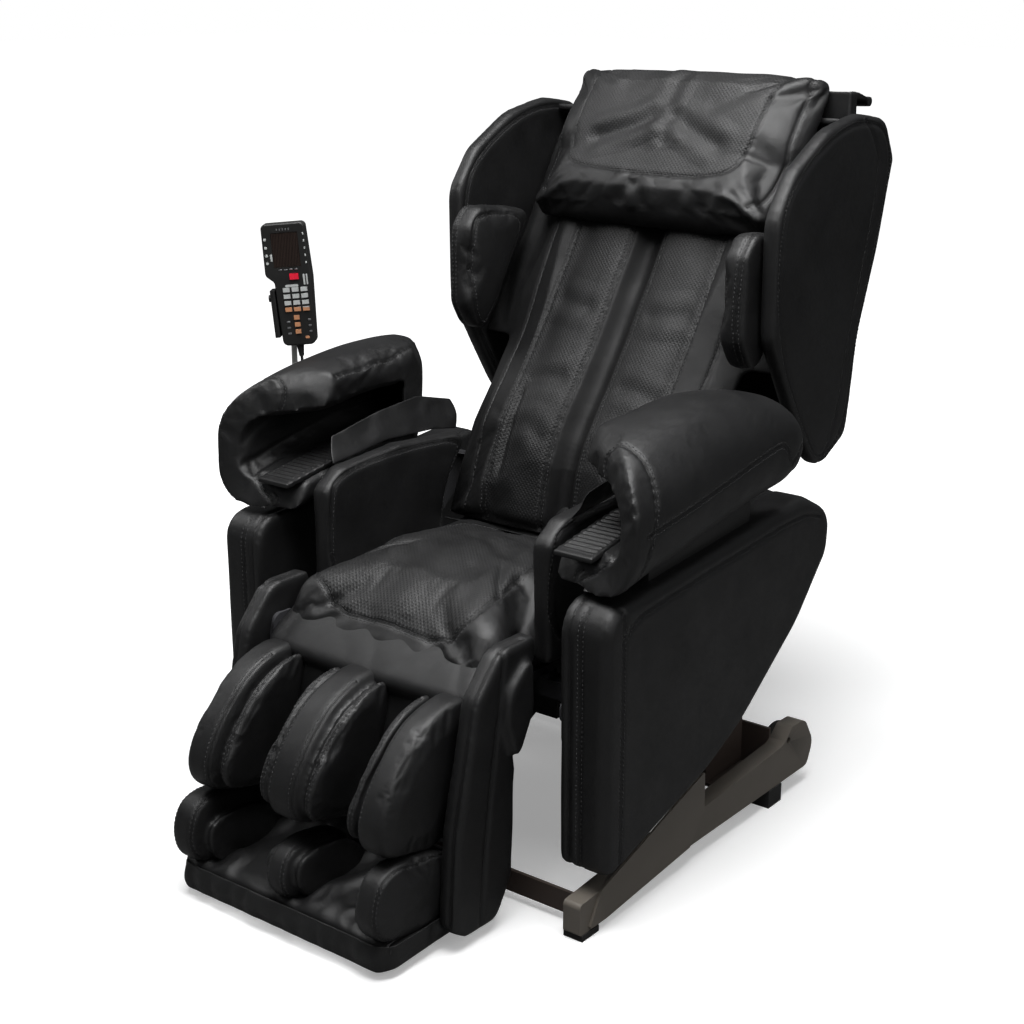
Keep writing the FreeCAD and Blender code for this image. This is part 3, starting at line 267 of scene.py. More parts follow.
def moulded(name, colour, roughness, pit=0.0006, depth=0.25, coat=0.0):
    """Moulded plastic or rubber with a fine pitted skin, cloudy in tone and polished on its edges."""
    finish = Finish(name)
    tone = finish.ramp(finish.cloud(14, 4), scaled(colour, 0.84), scaled(colour, 1.16))
    # Paler colour on sharp edges: a painted edge highlight.
    tone = finish.mixed(finish.edges(), tone, (*scaled(colour, 1.8), 1))
    pits = finish.cloud(1 / pit, 2)
    worn = finish.spread(finish.cloud(9, 6), 0.35, 0.7, roughness - 0.06, roughness + 0.08)
    finish.shade(Base_Color=tone, Roughness=worn, Normal=finish.bump(pits, depth, 0.0003),
                 Coat_Weight=coat, Coat_Roughness=0.08)
    return finish.material


def painted(name, colour, roughness, metallic=0.0):
    """Satin paint on metal, with orange peel, dust in the low tones and bright worn edges."""
    finish = Finish(name)
    tone = finish.ramp(finish.cloud(5, 6), scaled(colour, 0.86), scaled(colour, 1.12))
    speck = finish.spread(finish.cloud(420, 2), 0.62, 0.72)
    tone = finish.mixed(speck, tone, (*scaled(colour, 1.5), 1))
    tone = finish.mixed(finish.edges(), tone, (*scaled(colour, 2.0), 1))
    peel = finish.bump(finish.cloud(300, 3), 0.2, 0.0005)
    worn = finish.spread(finish.cloud(12, 5), 0.3, 0.7, roughness - 0.05, roughness + 0.1)
    finish.shade(Base_Color=tone, Roughness=worn, Metallic=metallic, Normal=peel)
    return finish.material


def drawn_metal(name, colour, roughness, along=(1, 40, 40)):
    """Bare metal with drawing lines along one way."""
    finish = Finish(name)
    stretched = finish.add("ShaderNodeMapping", {"Vector": finish.place, "Scale": along}).outputs["Vector"]
    lines = finish.cloud(60, 4, stretched)
    tone = finish.ramp(lines, scaled(colour, 0.85), scaled(colour, 1.1))
    worn = finish.spread(lines, 0.3, 0.7, roughness - 0.08, roughness + 0.1)
    finish.shade(Base_Color=tone, Roughness=worn, Metallic=1.0, Normal=finish.bump(lines, 0.25, 0.0002))
    return finish.material


def screen_glass():
    """Dark display under glass, with faint columns of the panel behind it."""
    finish = Finish("screen_glass")
    columns = finish.add("ShaderNodeTexWave", {"Vector": finish.place, "Scale": 150, "Distortion": 0.3})
    tone = finish.ramp(columns.outputs["Fac"], (0.012, 0.008, 0.007), (0.035, 0.024, 0.02), 0.3, 0.8)
    smear = finish.spread(finish.cloud(60, 5), 0.4, 0.7, 0.07, 0.16)
    finish.shade(Base_Color=tone, Roughness=smear, Coat_Weight=0.6, Coat_Roughness=0.05)
    return finish.material


def key_plastic(name, pale, lower, edge):
    """Key caps, pale above the height given by edge and tinted below it, with softly rubbed tops."""
    finish = Finish(name)
    height = finish.add("ShaderNodeSeparateXYZ", {"Vector": finish.place}).outputs["Z"]
    tone = finish.mixed(finish.spread(height, edge + 0.0005, edge - 0.0005), (*pale, 1), (*lower, 1))
    marks = finish.spread(finish.cloud(700, 3), 0.56, 0.62, 0, 0.35)
    tone = finish.mixed(marks, tone, (0.18, 0.18, 0.18, 1))
    finish.shade(Base_Color=tone, Roughness=finish.spread(finish.cloud(90, 3), 0.3, 0.7, 0.35, 0.55),
                 Normal=finish.bump(finish.cloud(900, 2), 0.2, 0.0002))
    return finish.material


FINISHES = {}


def make_finishes():
    trim = bpy.context.scene.chair_trim
    tilt = (math.radians(-57), 0, 0)
    FINISHES.update({
        "leather": leather("leather"),
        # Darker, less glossy copy of the leather for the back pad and the calf liner: painted shade.
        "painted_shade_leather": leather("painted_shade_leather", 0.7, rough=0.12, gloss=0.28),
        # Perforated back leather, darker than the seat's and the pillow's: painted shade.
        "painted_shade_back_mesh": leather("perforated_back_painted_shade", 1.0, tilt, 0.08, 0.36),
        # Perforated pillow and seat leather, lighter than the back's: painted light.
        "painted_light_pillow_mesh": leather("perforated_pillow_painted_light", 1.5, tilt, 0.08),
        "painted_light_seat_mesh": leather("perforated_seat_painted_light", 1.4, (0, 0, 0), 0.06),
        "thread": thread(),
        "base_paint": painted("base_paint", trim.base_colour, 0.38),
        "bracket_paint": painted("bracket_paint", (0.035, 0.026, 0.022), 0.45),
        "frame_steel": painted("frame_steel", (0.02, 0.02, 0.022), 0.45),
        "aluminium": drawn_metal("aluminium", (0.6, 0.6, 0.62), 0.35),
        "rubber": moulded("rubber", (0.012, 0.012, 0.012), 0.75, 0.001, 0.5),
        "roller_rubber": moulded("roller_rubber", (0.1, 0.09, 0.08), 0.7, 0.0012, 0.5),
        "black_plastic": moulded("black_plastic", (0.012, 0.012, 0.012), 0.45),
        "charcoal_plastic": moulded("charcoal_plastic", trim.handset_colour, 0.42),
        "light_plastic": key_plastic("light_plastic", (0.55, 0.57, 0.56), (0.6, 0.28, 0.14), 0.8105),
        "red_plastic": moulded("red_plastic", (0.5, 0.012, 0.03), 0.3, coat=0.4),
        "screen_glass": screen_glass(),
        "white_paint": painted("white_paint", (0.74, 0.74, 0.71), 0.3),
    })


NODE_FINISHES = {
    "base_paint": ["base_rail_left", "base_rail_right", "side_gussets"],
    "bracket_paint": ["tilt_brackets", "cross_plates"],
    "frame_steel": ["seat_frame", "back_frame", "leg_frame", "massage_carriage"],
    "aluminium": ["recline_rod", "leg_rod", "roller_arm_left", "roller_arm_right"],
    "rubber": ["foot_pads", "transport_wheels", "cord_relief"],
    "roller_rubber": ["upper_roller_left", "upper_roller_right", "lower_roller_left", "lower_roller_right"],
    "black_plastic": ["power_inlet", "power_rocker", "control_box", "air_pump", "recline_actuator",
                      "leg_actuator", "foot_tray", "handset_holder", "armrest_runners"],
    "charcoal_plastic": ["handset_body"],
    "light_plastic": ["program_keys", "arrow_keys"],
    "red_plastic": ["stop_key"],
    "screen_glass": ["handset_screen"],
    "white_paint": ["handset_stand"],
}


def finish_frame():
    """Gives every carried-over node its finish."""
    for name, nodes in NODE_FINISHES.items():
        for node in nodes:
            mesh = frame["nodes"][node].data
            mesh.materials.clear()
            mesh.materials.append(FINISHES[name])


# Frames of reference and lines

class Plane:
    """A flat frame of reference on the chair, in which lines are given in millimetres."""

    def __init__(self, origin, along, across, out):
        self.origin = Vector(origin) * MM
        self.along = Vector(along)
        self.across = Vector(across)
        self.out = Vector(out)

    def at(self, a, b, height=0.0):
        return self.origin + (self.along * a + self.across * b + self.out * height) * MM

    def placed(self, flat):
        ways = np.array([self.along, self.across, self.out])
        return np.array(self.origin) + flat @ ways * MM

    def flat(self, points):
        offset = points - np.array(self.origin)
        return np.stack([offset @ np.array(way) for way in (self.along, self.across, self.out)], 1) / MM


TOP = Plane((0, 0, 0), (1, 0, 0), (0, 1, 0), (0, 0, 1))
FRONT = Plane((0, 0, 0), (1, 0, 0), (0, 0, 1), (0, -1, 0))
LEFT = Plane((0, 0, 0), (0, 1, 0), (0, 0, 1), (1, 0, 0))
INWARD = Plane((0, 0, 0), (0, 1, 0), (0, 0, 1), (-1, 0, 0))
BACK = Plane((0, 110, 440), (1, 0, 0), (0, math.sin(BACK_LEAN), math.cos(BACK_LEAN)),
             (0, -math.cos(BACK_LEAN), math.sin(BACK_LEAN)))
LEG = Plane((0, -350, 372), (1, 0, 0), (0, -math.sin(LEG_SLOPE), -math.cos(LEG_SLOPE)),
            (0, -math.cos(LEG_SLOPE), math.sin(LEG_SLOPE)))


def rounded(points, closed=False, rounds=3):
    """The same line with its corners cut round."""
    line = np.array(points, float)
    for _ in range(rounds):
        here = line if closed else line[:-1]
        ahead = np.roll(line, -1, axis=0) if closed else line[1:]
        cut = np.stack([here * 0.75 + ahead * 0.25, here * 0.25 + ahead * 0.75], 1).reshape(-1, line.shape[1])
        line = cut if closed else np.vstack([line[:1], cut, line[-1:]])
    return line


def even(line, step, closed=False):
    """Points every step along a line of two or three coordinates."""
    line = np.array(line, float)
    if closed:
        line = np.vstack([line, line[:1]])
    lengths = np.linalg.norm(np.diff(line, axis=0), axis=1)
    along = np.concatenate([[0], np.cumsum(lengths)])
    count = max(2, int(round(along[-1] / step)) + 1)
    marks = np.linspace(0, along[-1], count)
    return np.stack([np.interp(marks, along, line[:, k]) for k in range(line.shape[1])], 1)


def inside(points, outline):
    """Which flat points lie inside a closed outline."""
    x, y = points[:, 0], points[:, 1]
    found = np.zeros(len(points), bool)
    ring = np.array(outline, float)
    for (x0, y0), (x1, y1) in zip(ring, np.roll(ring, -1, axis=0)):
        crosses = (y0 > y) != (y1 > y)
        with np.errstate(divide="ignore", invalid="ignore"):
            found ^= crosses & (x < (x1 - x0) * (y - y0) / (y1 - y0) + x0)
    return found


# Padded pieces

def points_of(mesh):
    values = np.empty(len(mesh.vertices) * 3)
    mesh.vertices.foreach_get("co", values)
    return values.reshape(-1, 3)


def normals_of(mesh):
    values = np.empty(len(mesh.vertices) * 3)
    mesh.vertices.foreach_get("normal", values)
    return values.reshape(-1, 3)


def move_points(mesh, points):
    mesh.vertices.foreach_set("co", np.asarray(points, float).ravel())
    mesh.update()


def add_object(name, mesh):
    made = bpy.data.objects.new(name, mesh)
    bpy.context.scene.collection.objects.link(made)
    return made


def apply_modifiers(piece):
    graph = bpy.context.evaluated_depsgraph_get()
    mesh = bpy.data.meshes.new_from_object(piece.evaluated_get(graph))
    piece.modifiers.clear()
    piece.data = mesh
    mesh.name = piece.name


def near(points, line, reach):
    """Distance of each point from a line, its place along the line, and which points are within reach."""
    close = np.flatnonzero(((points > line.min(0) - reach) & (points < line.max(0) + reach)).all(1))
    best = np.full(len(close), np.inf)
    place = np.zeros(len(close))
    for start in range(0, len(close), 4000):
        some = points[close[start:start + 4000]]
        gaps = np.linalg.norm(some[:, None, :] - line[None, :, :], axis=2)
        best[start:start + 4000] = gaps.min(1)
        place[start:start + 4000] = gaps.argmin(1)
    keep = best < reach
    return close[keep], best[keep], place[keep]


class Upholstery:
    """One padded piece while it is formed from its solid, filled, creased and sewn."""

    def __init__(self, name, node, voxel=None, smoothing=None, shape=None):
        padding = bpy.context.scene.chair_padding
        self.name = name
        self.node = node
        self.piece = add_object(name, shape or frame["nodes"][node].data.copy())
        self.piece.data.materials.clear()
        self.lines = []
        remesh = self.piece.modifiers.new("even", "REMESH")
        remesh.mode = "VOXEL"
        remesh.voxel_size = voxel or padding.voxel
        smooth = self.piece.modifiers.new("smooth", "SMOOTH")
        smooth.factor = 0.5
        smooth.iterations = padding.smoothing if smoothing is None else smoothing
        apply_modifiers(self.piece)

    @property
    def mesh(self):
        return self.piece.data

    def shrink(self, depth):
        """Draws the skin in, so that the filling has room to swell."""
        move_points(self.mesh, points_of(self.mesh) - normals_of(self.mesh) * depth)

    def fill(self, limit, held=None, share=1.0):
        """Swells the skin by cloth simulation, with no point moved by more than limit."""
        padding = bpy.context.scene.chair_padding
        before = points_of(self.mesh)
        cloth = self.piece.modifiers.new("filling", "CLOTH")
        cloth.settings.use_pressure = True
        cloth.settings.uniform_pressure_force = padding.pressure * share
        cloth.settings.effector_weights.gravity = 0
        cloth.settings.quality = 4
        cloth.collision_settings.use_collision = False
        if held is not None:
            group = self.piece.vertex_groups.new(name="held")
            for index in np.flatnonzero(held(before, normals_of(self.mesh))):
                group.add([int(index)], 1.0, "REPLACE")
            cloth.settings.vertex_group_mass = "held"
        scene = bpy.context.scene
        cloth.point_cache.frame_start = 1
        cloth.point_cache.frame_end = padding.frames
        for step in range(1, padding.frames + 1):
            scene.frame_set(step)
        graph = bpy.context.evaluated_depsgraph_get()
        swollen = self.piece.evaluated_get(graph).to_mesh()
        moved = points_of(swollen) - before
        self.piece.evaluated_get(graph).to_mesh_clear()
        length = np.linalg.norm(moved, axis=1, keepdims=True)
        moved *= np.minimum(1, limit / np.maximum(length, 1e-9))
        self.piece.modifiers.clear()
        self.piece.vertex_groups.clear()
        move_points(self.mesh, before + moved)
        scene.frame_set(1)

    def subdivide(self):
        modifier = self.piece.modifiers.new("finer", "SUBSURF")
        modifier.levels = 1
        modifier.render_levels = 1
        apply_modifiers(self.piece)

    def ripple(self, height, size, seed=0.0):
        """Soft unevenness of the skin."""
        points = points_of(self.mesh)
        shift = Vector((seed, seed * 2, seed * 3))
        lift = np.array([noise.noise(Vector(point) / size + shift) for point in points])
        move_points(self.mesh, points + normals_of(self.mesh) * (lift * height)[:, None])

    def skin(self):
        """The skin as it is now, for finding points on it."""
        work = bmesh.new()
        work.from_mesh(self.mesh)
        tree = BVHTree.FromBMesh(work)
        work.free()
        return tree

    def laid(self, plane, points, closed=False, rounds=3, start=1500.0):
        """The points on the skin under a flat line of the plane."""
        tree = self.skin()
        line = even(rounded(points, closed, rounds), LINE_STEP, closed)
        found = []
        for a, b in line:
            hit = tree.ray_cast(plane.at(a, b, start), -plane.out)
            if hit[0] is not None:
                found.append(hit[0])
        return np.array([tuple(point) for point in found])

    def sliced(self, point, normal, keep):
        """The longest line that a cut through the skin leaves where keep holds."""
        work = bmesh.new()
        work.from_mesh(self.mesh)
        cut = bmesh.ops.bisect_plane(
            work, geom=work.verts[:] + work.edges[:] + work.faces[:], plane_co=point, plane_no=normal)
        edges = [item for item in cut["geom_cut"] if isinstance(item, bmesh.types.BMEdge)]
        links = {}
        for edge in edges:
            ends = [tuple(vertex.co) for vertex in edge.verts]
            if all(keep(Vector(end)) for end in ends):
                links.setdefault(ends[0], []).append(ends[1])
                links.setdefault(ends[1], []).append(ends[0])
        work.free()
        chains = []
        left = set(links)
        while left:
            single = [end for end in left if len(links[end]) == 1]
            here = min(single) if single else min(left)
            chain = [here]
            left.discard(here)
            while True:
                ahead = [end for end in links[here] if end in left]
                if not ahead:
                    break
                here = ahead[0]
                left.discard(here)
                chain.append(here)
            chains.append(chain)
        return even(max(chains, key=len), LINE_STEP * MM)

    def crease(self, line, width, depth, shoulder=0.0, ends=0.15):
        """Presses a fold into the skin along a line, fading at both ends, with raised shoulders."""
        if len(line) < 2:
            return
        points = points_of(self.mesh)
        found, gap, place = near(points, line, width * 3.2)
        share = place / (len(line) - 1)
        fade = np.clip(np.minimum(share, 1 - share) / ends, 0, 1) if ends else np.ones(len(share))
        press = -depth * np.exp(-(gap / width) ** 2)
        press += shoulder * np.exp(-((gap - 2 * width) / width) ** 2)
        points[found] += normals_of(self.mesh)[found] * (press * fade)[:, None]
        move_points(self.mesh, points)

    def gather(self, line, height, wave, reach):
        """Small puckers across a seam."""
        points = points_of(self.mesh)
        found, gap, place = near(points, line, reach)
        phase = place * LINE_STEP * MM / wave * 2 * math.pi
        lift = height * np.sin(phase + 1.7 * np.sin(phase * 0.31)) * (1 - gap / reach) ** 2
        points[found] += normals_of(self.mesh)[found] * lift[:, None]
        move_points(self.mesh, points)

    def seam(self, line, rows=(-1, 1), ridges=True, gathered=0.0, width=1.0, depth=1.0):
        """Draws the skin in along a seam, which is sewn when the piece is closed."""
        sewing = bpy.context.scene.chair_sewing
        if len(line) < 3:
            raise RuntimeError(f"{self.name}: a seam misses the piece")
        self.crease(line, sewing.seam_width * width, sewing.seam_depth * depth, 0.0, 0)
        if gathered:
            self.gather(line, gathered, 0.017, 0.022)
        self.lines.append((line, rows, ridges))

    def panel(self, plane, outline, finish, facing=0.25, rounds=3):
        """Gives the skin inside an outline its own finish."""
        self.mesh.materials.append(FINISHES[finish])
        slot = len(self.mesh.materials) - 1
        ring = rounded(outline, True, rounds)
        count = len(self.mesh.polygons)
        centres = np.empty(count * 3)
        ways = np.empty(count * 3)
        self.mesh.polygons.foreach_get("center", centres)
        self.mesh.polygons.foreach_get("normal", ways)
        flat = plane.flat(centres.reshape(-1, 3))
        front = ways.reshape(-1, 3) @ np.array(plane.out) > facing
        chosen = inside(flat[:, :2], ring) & front
        slots = np.zeros(count, int)
        self.mesh.polygons.foreach_get("material_index", slots)
        slots[chosen] = slot
        self.mesh.polygons.foreach_set("material_index", slots)

    def close(self, fill=0.7):
        """Sews the seams, and sets the piece on its body in its solid's place."""
        self.mesh.shade_smooth()
        body = BODY_OF[self.node]
        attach(self.piece, body)
        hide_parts(self.node)
        if self.lines:
            sew(self.name + "_seams", self.skin(), self.lines, body)
        return self.piece


# Seams

class Cloth:
    """Collects the faces of ridges and stitches."""

    def __init__(self):
        self.points = []
        self.faces = []
        self.slots = []

    def tube(self, centres, sides, lift, radii, slot, count=6):
        """A tube through centres, with its ends closed."""
        first = len(self.points)
        for centre, side, up, radius in zip(centres, sides, lift, radii):
            for k in range(count):
                turn = 2 * math.pi * k / count
                self.points.append(centre + side * math.cos(turn) * radius + up * math.sin(turn) * radius)
        rings = len(centres)
        for ring in range(rings - 1):
            for k in range(count):
                a = first + ring * count + k
                b = first + ring * count + (k + 1) % count
                self.faces.append((a, b, b + count, a + count))
                self.slots.append(slot)
        self.faces.append(tuple(first + k for k in reversed(range(count))))
        self.faces.append(tuple(first + (rings - 1) * count + k for k in range(count)))
        self.slots += [slot, slot]


def on_skin(tree, line, offset=0.0):
    """Points, side ways and outward ways along a line that is moved sideways on the skin."""
    centres, sides, ups = [], [], []
    for index, point in enumerate(line):
        here, up, _, _ = tree.find_nearest(Vector(point))
        ahead = Vector(line[min(index + 1, len(line) - 1)]) - Vector(line[max(index - 1, 0)])
        side = ahead.cross(up)
        if side.length < 1e-9:
            continue
        side.normalize()
        if offset:
            here, up, _, _ = tree.find_nearest(here + side * offset)
        centres.append(here)
        sides.append(side)
        ups.append(up)
    return centres, sides, ups


def sew(name, tree, lines, body):
    """One mesh with the folded edges and the stitch rows of a piece's seams."""
    sewing = bpy.context.scene.chair_sewing
    cloth = Cloth()
    ridge = 0.0009
    for line, rows, ridges in lines:
        if ridges:
            for way in (-1, 1):
                centres, sides, ups = on_skin(tree, line, way * ridge * 1.15)
                centres = [centre - up * ridge * 0.35 for centre, up in zip(centres, ups)]
                cloth.tube(centres, sides, ups, [ridge] * len(centres), 0)
        for row in rows:
            centres, sides, ups = on_skin(tree, line, row * sewing.row)
            marks = np.array([tuple(centre) for centre in centres])
            fine = even(marks, sewing.stitch / 4)
            per = int(round(sewing.pitch / (sewing.stitch / 4)))
            for start in range(0, len(fine) - 5, per):
                points, ways, lifts = on_skin(tree, fine[start:start + 5:2])
                if len(points) < 3:
                    continue
                heights = (-0.2, 0.5, -0.2)
                points = [point + lift * sewing.thread * height
                          for point, lift, height in zip(points, lifts, heights)]
                radii = [sewing.thread * share for share in (0.7, 1, 0.7)]
                cloth.tube(points, ways, lifts, radii, 1, 5)
    mesh = bpy.data.meshes.new(name)
    mesh.from_pydata([tuple(point) for point in cloth.points], [], cloth.faces)
    mesh.materials.append(FINISHES["leather"])
    mesh.materials.append(FINISHES["thread"])
    mesh.polygons.foreach_set("material_index", cloth.slots)
    mesh.shade_smooth()
    mesh.update()
    made = add_object(name, mesh)
    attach(made, body)
    return made


def mirror_points(source, name, node, declare=0.7):
    """The other side's copy of a piece."""
    mesh = source.data.copy()
    mesh.name = name
    points = points_of(mesh)
    points[:, 0] *= -1
    mesh.flip_normals()
    move_points(mesh, points)
    made = add_object(name, mesh)
    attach(made, BODY_OF[node])
    if declare is not None:
        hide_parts(node)
    return made


def both_sides(left, fill=0.7):
    """Makes the right-hand piece and its seams from the left-hand ones."""
    other = left.name.replace("left", "right")
    node = left.node.replace("left", "right")
    made = mirror_points(left.piece, other, node, fill)
    seams = bpy.data.objects.get(left.name + "_seams")
    if seams:
        mirror_points(seams, other + "_seams", node, None)
    return made


# Pieces

def make_seat():
    work = Upholstery("seat_leather", "seat_cushion")
    points = points_of(work.mesh)
    forward = np.clip((-235 * MM - points[:, 1]) / (60 * MM), 0, 1)
    high = np.clip((points[:, 2] - 395 * MM) / (50 * MM), 0, 1)
    points[:, 0] *= 1 + 0.1 * forward * high
    move_points(work.mesh, points)
    work.shrink(0.004)
    work.fill(0.02, lambda at, way: (way[:, 2] < -0.5) | (at[:, 1] > 0.05))
    work.subdivide()
    ring = [(-150, -318), (-60, -330), (60, -330), (126, -326), (150, -306), (146, -240), (128, -150),
            (126, 40), (-126, 40), (-128, -150), (-172, -240), (-182, -290)]
    edge = work.laid(TOP, ring, True)
    work.ripple(0.0022, 0.075, 3)
    for fold, width, depth in (
            ([(-70, -60), (20, -95), (110, -150)], 0.012, 0.0035),
            ([(-20, -20), (60, -40), (125, -90)], 0.014, 0.004),
            ([(-120, -160), (-40, -190), (40, -250)], 0.016, 0.0022),
            ([(40, -180), (90, -230), (120, -290)], 0.012, 0.002)):
        work.crease(work.laid(TOP, fold), width, depth, depth * 0.4)
    for x in (-120, -40, 30, 100, 150):
        work.crease(work.laid(FRONT, [(x, 372), (x + 8, 400), (x - 3, 430)]), 0.014, 0.002, 0.001)
    work.seam(edge, gathered=0.0002)
    work.mesh.materials.append(FINISHES["leather"])
    work.panel(TOP, ring, "painted_light_seat_mesh")
    work.close(0.75)


def make_pillow():
    work = Upholstery("pillow_leather", "head_pillow")
    flat = BACK.flat(points_of(work.mesh))
    flat[:, 0] *= 1.055
    low = np.clip((660 - flat[:, 1]) / 90, 0, 1)
    flat[:, 1] -= 20 * low ** 2
    flat[:, 2] += 20 * low * np.clip((flat[:, 2] - 60) / 20, 0, 1)
    flat = round_corners(flat, 253, 540, 862, 46)
    move_points(work.mesh, BACK.placed(flat))
    work.shrink(0.004)
    work.fill(0.015, lambda at, way: way @ np.array(BACK.out) < -0.4)
    work.subdivide()
    ring = [(-186, 870), (-187, 760), (-189, 680), (-182, 640), (-150, 622), (-80, 615), (30, 612),
            (110, 615), (150, 626), (170, 650), (180, 710), (186, 870)]
    edge = work.laid(BACK, ring)
    rim = work.laid(BACK, [(-228, 845), (-232, 700), (-226, 600), (-205, 575)])
    folds = [
        ([(-8, 735), (-60, 700), (-150, 672)], 0.014, 0.007),
        ([(-8, 735), (60, 700), (140, 665)], 0.014, 0.006),
        ([(-8, 735), (-5, 790), (5, 830)], 0.012, 0.003),
        ([(0, 720), (10, 690), (20, 665)], 0.012, 0.004),
        ([(70, 740), (120, 770), (160, 800)], 0.016, 0.003),
        ([(-120, 780), (-70, 810), (-30, 840)], 0.018, 0.002),
        ([(-50, 560), (-35, 582), (-20, 603)], 0.011, 0.0045),
        ([(5, 556), (-2, 580), (-22, 600)], 0.01, 0.004),
        ([(60, 556), (75, 578), (90, 600)], 0.013, 0.0022),
        ([(110, 556), (130, 580), (150, 606)], 0.013, 0.0024),
        ([(-140, 560), (-130, 585), (-120, 604)], 0.014, 0.0016),
        ([(170, 565), (180, 590), (190, 616)], 0.014, 0.0018)]
    for fold, width, depth in folds:
        work.crease(work.laid(BACK, fold), width, depth, depth * 0.45)
    work.ripple(0.0024, 0.07, 8)
    work.seam(edge, rows=(-1,), gathered=0.0002, width=0.9)
    work.seam(rim, rows=(1,), gathered=0.0002)
    work.seam(rim * np.array([-1, 1, 1]), rows=(-1,), gathered=0.0002)
    work.mesh.materials.append(FINISHES["leather"])
    work.panel(BACK, ring, "painted_light_pillow_mesh")
    work.close(0.6)


def make_back():
    work = Upholstery("back_leather", "back_pad")
    work.shrink(0.003)
    work.fill(0.014, lambda at, way: way @ np.array(BACK.out) < -0.3)
    work.subdivide()
    work.ripple(0.002, 0.06, 5)
    for side in (-1, 1):
        for low, high, bend in ((128, 150, 14), (250, 262, -12), (385, 372, 16)):
            fold = work.laid(BACK, [(side * 46, low), (side * 90, high + bend), (side * 142, low + bend)])
            work.crease(fold, 0.014, 0.0026, 0.0012)
        rows = [work.laid(BACK, [(side * x, -4), (side * x, 200), (side * x, 420), (side * x, 752)])
                for x in (33, 150)]
        outer = work.laid(BACK, [(side * 188, 2), (side * 196, 200), (side * 200, 420), (side * 196, 752)])
        slit = work.laid(BACK, [(side * 128, 60), (side * 136, 240)])
        for line in rows:
            work.seam(line, gathered=0.00025, depth=1.2)
        work.seam(outer, rows=(-side,), gathered=0.0002)
        work.crease(slit, 0.006, 0.007, 0.001)
    centre = work.laid(BACK, [(0, -8), (0, 752)])
    work.crease(centre, 0.021, 0.021, 0.001, 0.02)
    # The back pad's plain leather is the darker copy, as painted shade.
    work.mesh.materials.append(FINISHES["painted_shade_leather"])
    for side in (-1, 1):
        work.panel(BACK, [(side * 33, -40), (side * 150, -40), (side * 150, 790), (side * 33, 790)],
                   "painted_shade_back_mesh", rounds=0)
    work.close(0.55)


def round_corners(flat, half, low, high, radius):
    """Pulls flat points into a rectangle with rounded corners."""
    side = np.abs(flat[:, 0]) - (half - radius)
    for middle, way in ((low + radius, -1), (high - radius, 1)):
        rise = (flat[:, 1] - middle) * way
        far = np.hypot(side, rise)
        out = (side > 0) & (rise > 0) & (far > radius)
        share = radius / far[out]
        flat[out, 0] = np.sign(flat[out, 0]) * (half - radius + side[out] * share)
        flat[out, 1] = middle + way * rise[out] * share
    return flat


def inset_outline(points, depth):
    """A closed outline moved inwards."""
    line = even(rounded(points, True), 6.0, True)[:-1]
    area = sum(x0 * y1 - x1 * y0 for (x0, y0), (x1, y1) in zip(line, np.roll(line, -1, axis=0)))
    ways = np.roll(line, -1, axis=0) - np.roll(line, 1, axis=0)
    ways /= np.linalg.norm(ways, axis=1, keepdims=True)
    inward = np.stack([-ways[:, 1], ways[:, 0]], 1) * (1 if area > 0 else -1)
    return line + inward * depth


WING = [(214, 790), (212, 985), (262, 1052), (368, 1110), (470, 1130), (560, 1116), (600, 1048), (556, 895),
        (506, 765), (480, 592), (384, 545), (318, 625)]
SHOULDER = [(171, 792), (175, 930), (208, 964), (366, 944), (266, 780), (214, 722)]
HIP = [(-243, 372), (-243, 562), (-200, 592), (-60, 601), (120, 588), (58, 498), (46, 372)]


def make_wings():
    work = Upholstery("wing_leather_left", "back_wing_left")
    work.subdivide()
    ring = inset_outline(WING, 13)
    work.seam(work.laid(LEFT, ring, True, 0), rows=(-1,))
    work.seam(work.laid(INWARD, ring, True, 0), rows=(-1,))
    rear = work.laid(LEFT, [(484, 1122), (520, 1085), (545, 1040), (512, 900), (466, 765), (440, 640),
                            (396, 560)])
    work.seam(rear, rows=())
    work.ripple(0.0012, 0.12, 2)
    work.mesh.materials.append(FINISHES["leather"])
    work.close(0.9)
    both_sides(work, 0.9)
    work = Upholstery("shoulder_leather_left", "shoulder_pad_left")
    work.shrink(0.003)
    work.fill(0.01, lambda at, way: at[:, 0] > 0.296)
    work.subdivide()
    line = work.laid(INWARD, inset_outline(SHOULDER, 13), True, 0)
    work.seam(line, rows=(-1,), gathered=0.0002)
    front = work.sliced(Vector((0.285, 0, 0)), Vector((1, 0, 0)), lambda p: p.y < 0.26)
    work.seam(front, rows=(-1, 1), gathered=0.0002)
    work.ripple(0.0016, 0.06, 4)
    work.mesh.materials.append(FINISHES["leather"])
    work.close(0.7)
    both_sides(work)


def make_hip_pads():
    work = Upholstery("hip_leather_left", "hip_pad_left")
    work.shrink(0.002)
    work.fill(0.01, lambda at, way: np.abs(way[:, 0]) > 0.9)
    work.subdivide()
    work.seam(work.laid(INWARD, inset_outline(HIP, 9), True, 0), rows=(-1,), gathered=0.0002)
    work.seam(work.laid(LEFT, inset_outline(HIP, 9), True, 0), rows=(-1,), gathered=0.0002)
    work.ripple(0.0016, 0.07, 6)
    work.mesh.materials.append(FINISHES["leather"])
    work.close()
    both_sides(work)


def make_side_panels():
    work = Upholstery("side_leather_left", "side_panel_left", smoothing=2)
    work.shrink(-0.0014)
    work.subdivide()
    for line in (
            [(-262, 96), (-262, 500)],
            [(-262, 455), (-240, 478), (-200, 486), (60, 506), (240, 519), (300, 500)]):
        work.seam(work.laid(LEFT, line), rows=(-1, 1), depth=1.1)
    work.seam(work.laid(FRONT, [(337, 92), (337, 500)]), rows=(-1, 1))
    rim = work.sliced(Vector((0.318, 0, 0)), Vector((1, 0, 0)), lambda p: p.y < -0.05 or p.z > 0.36)
    work.seam(rim, rows=())
    work.ripple(0.001, 0.14, 1)
    work.mesh.materials.append(FINISHES["leather"])
    work.close(0.9)
    both_sides(work, 0.9)


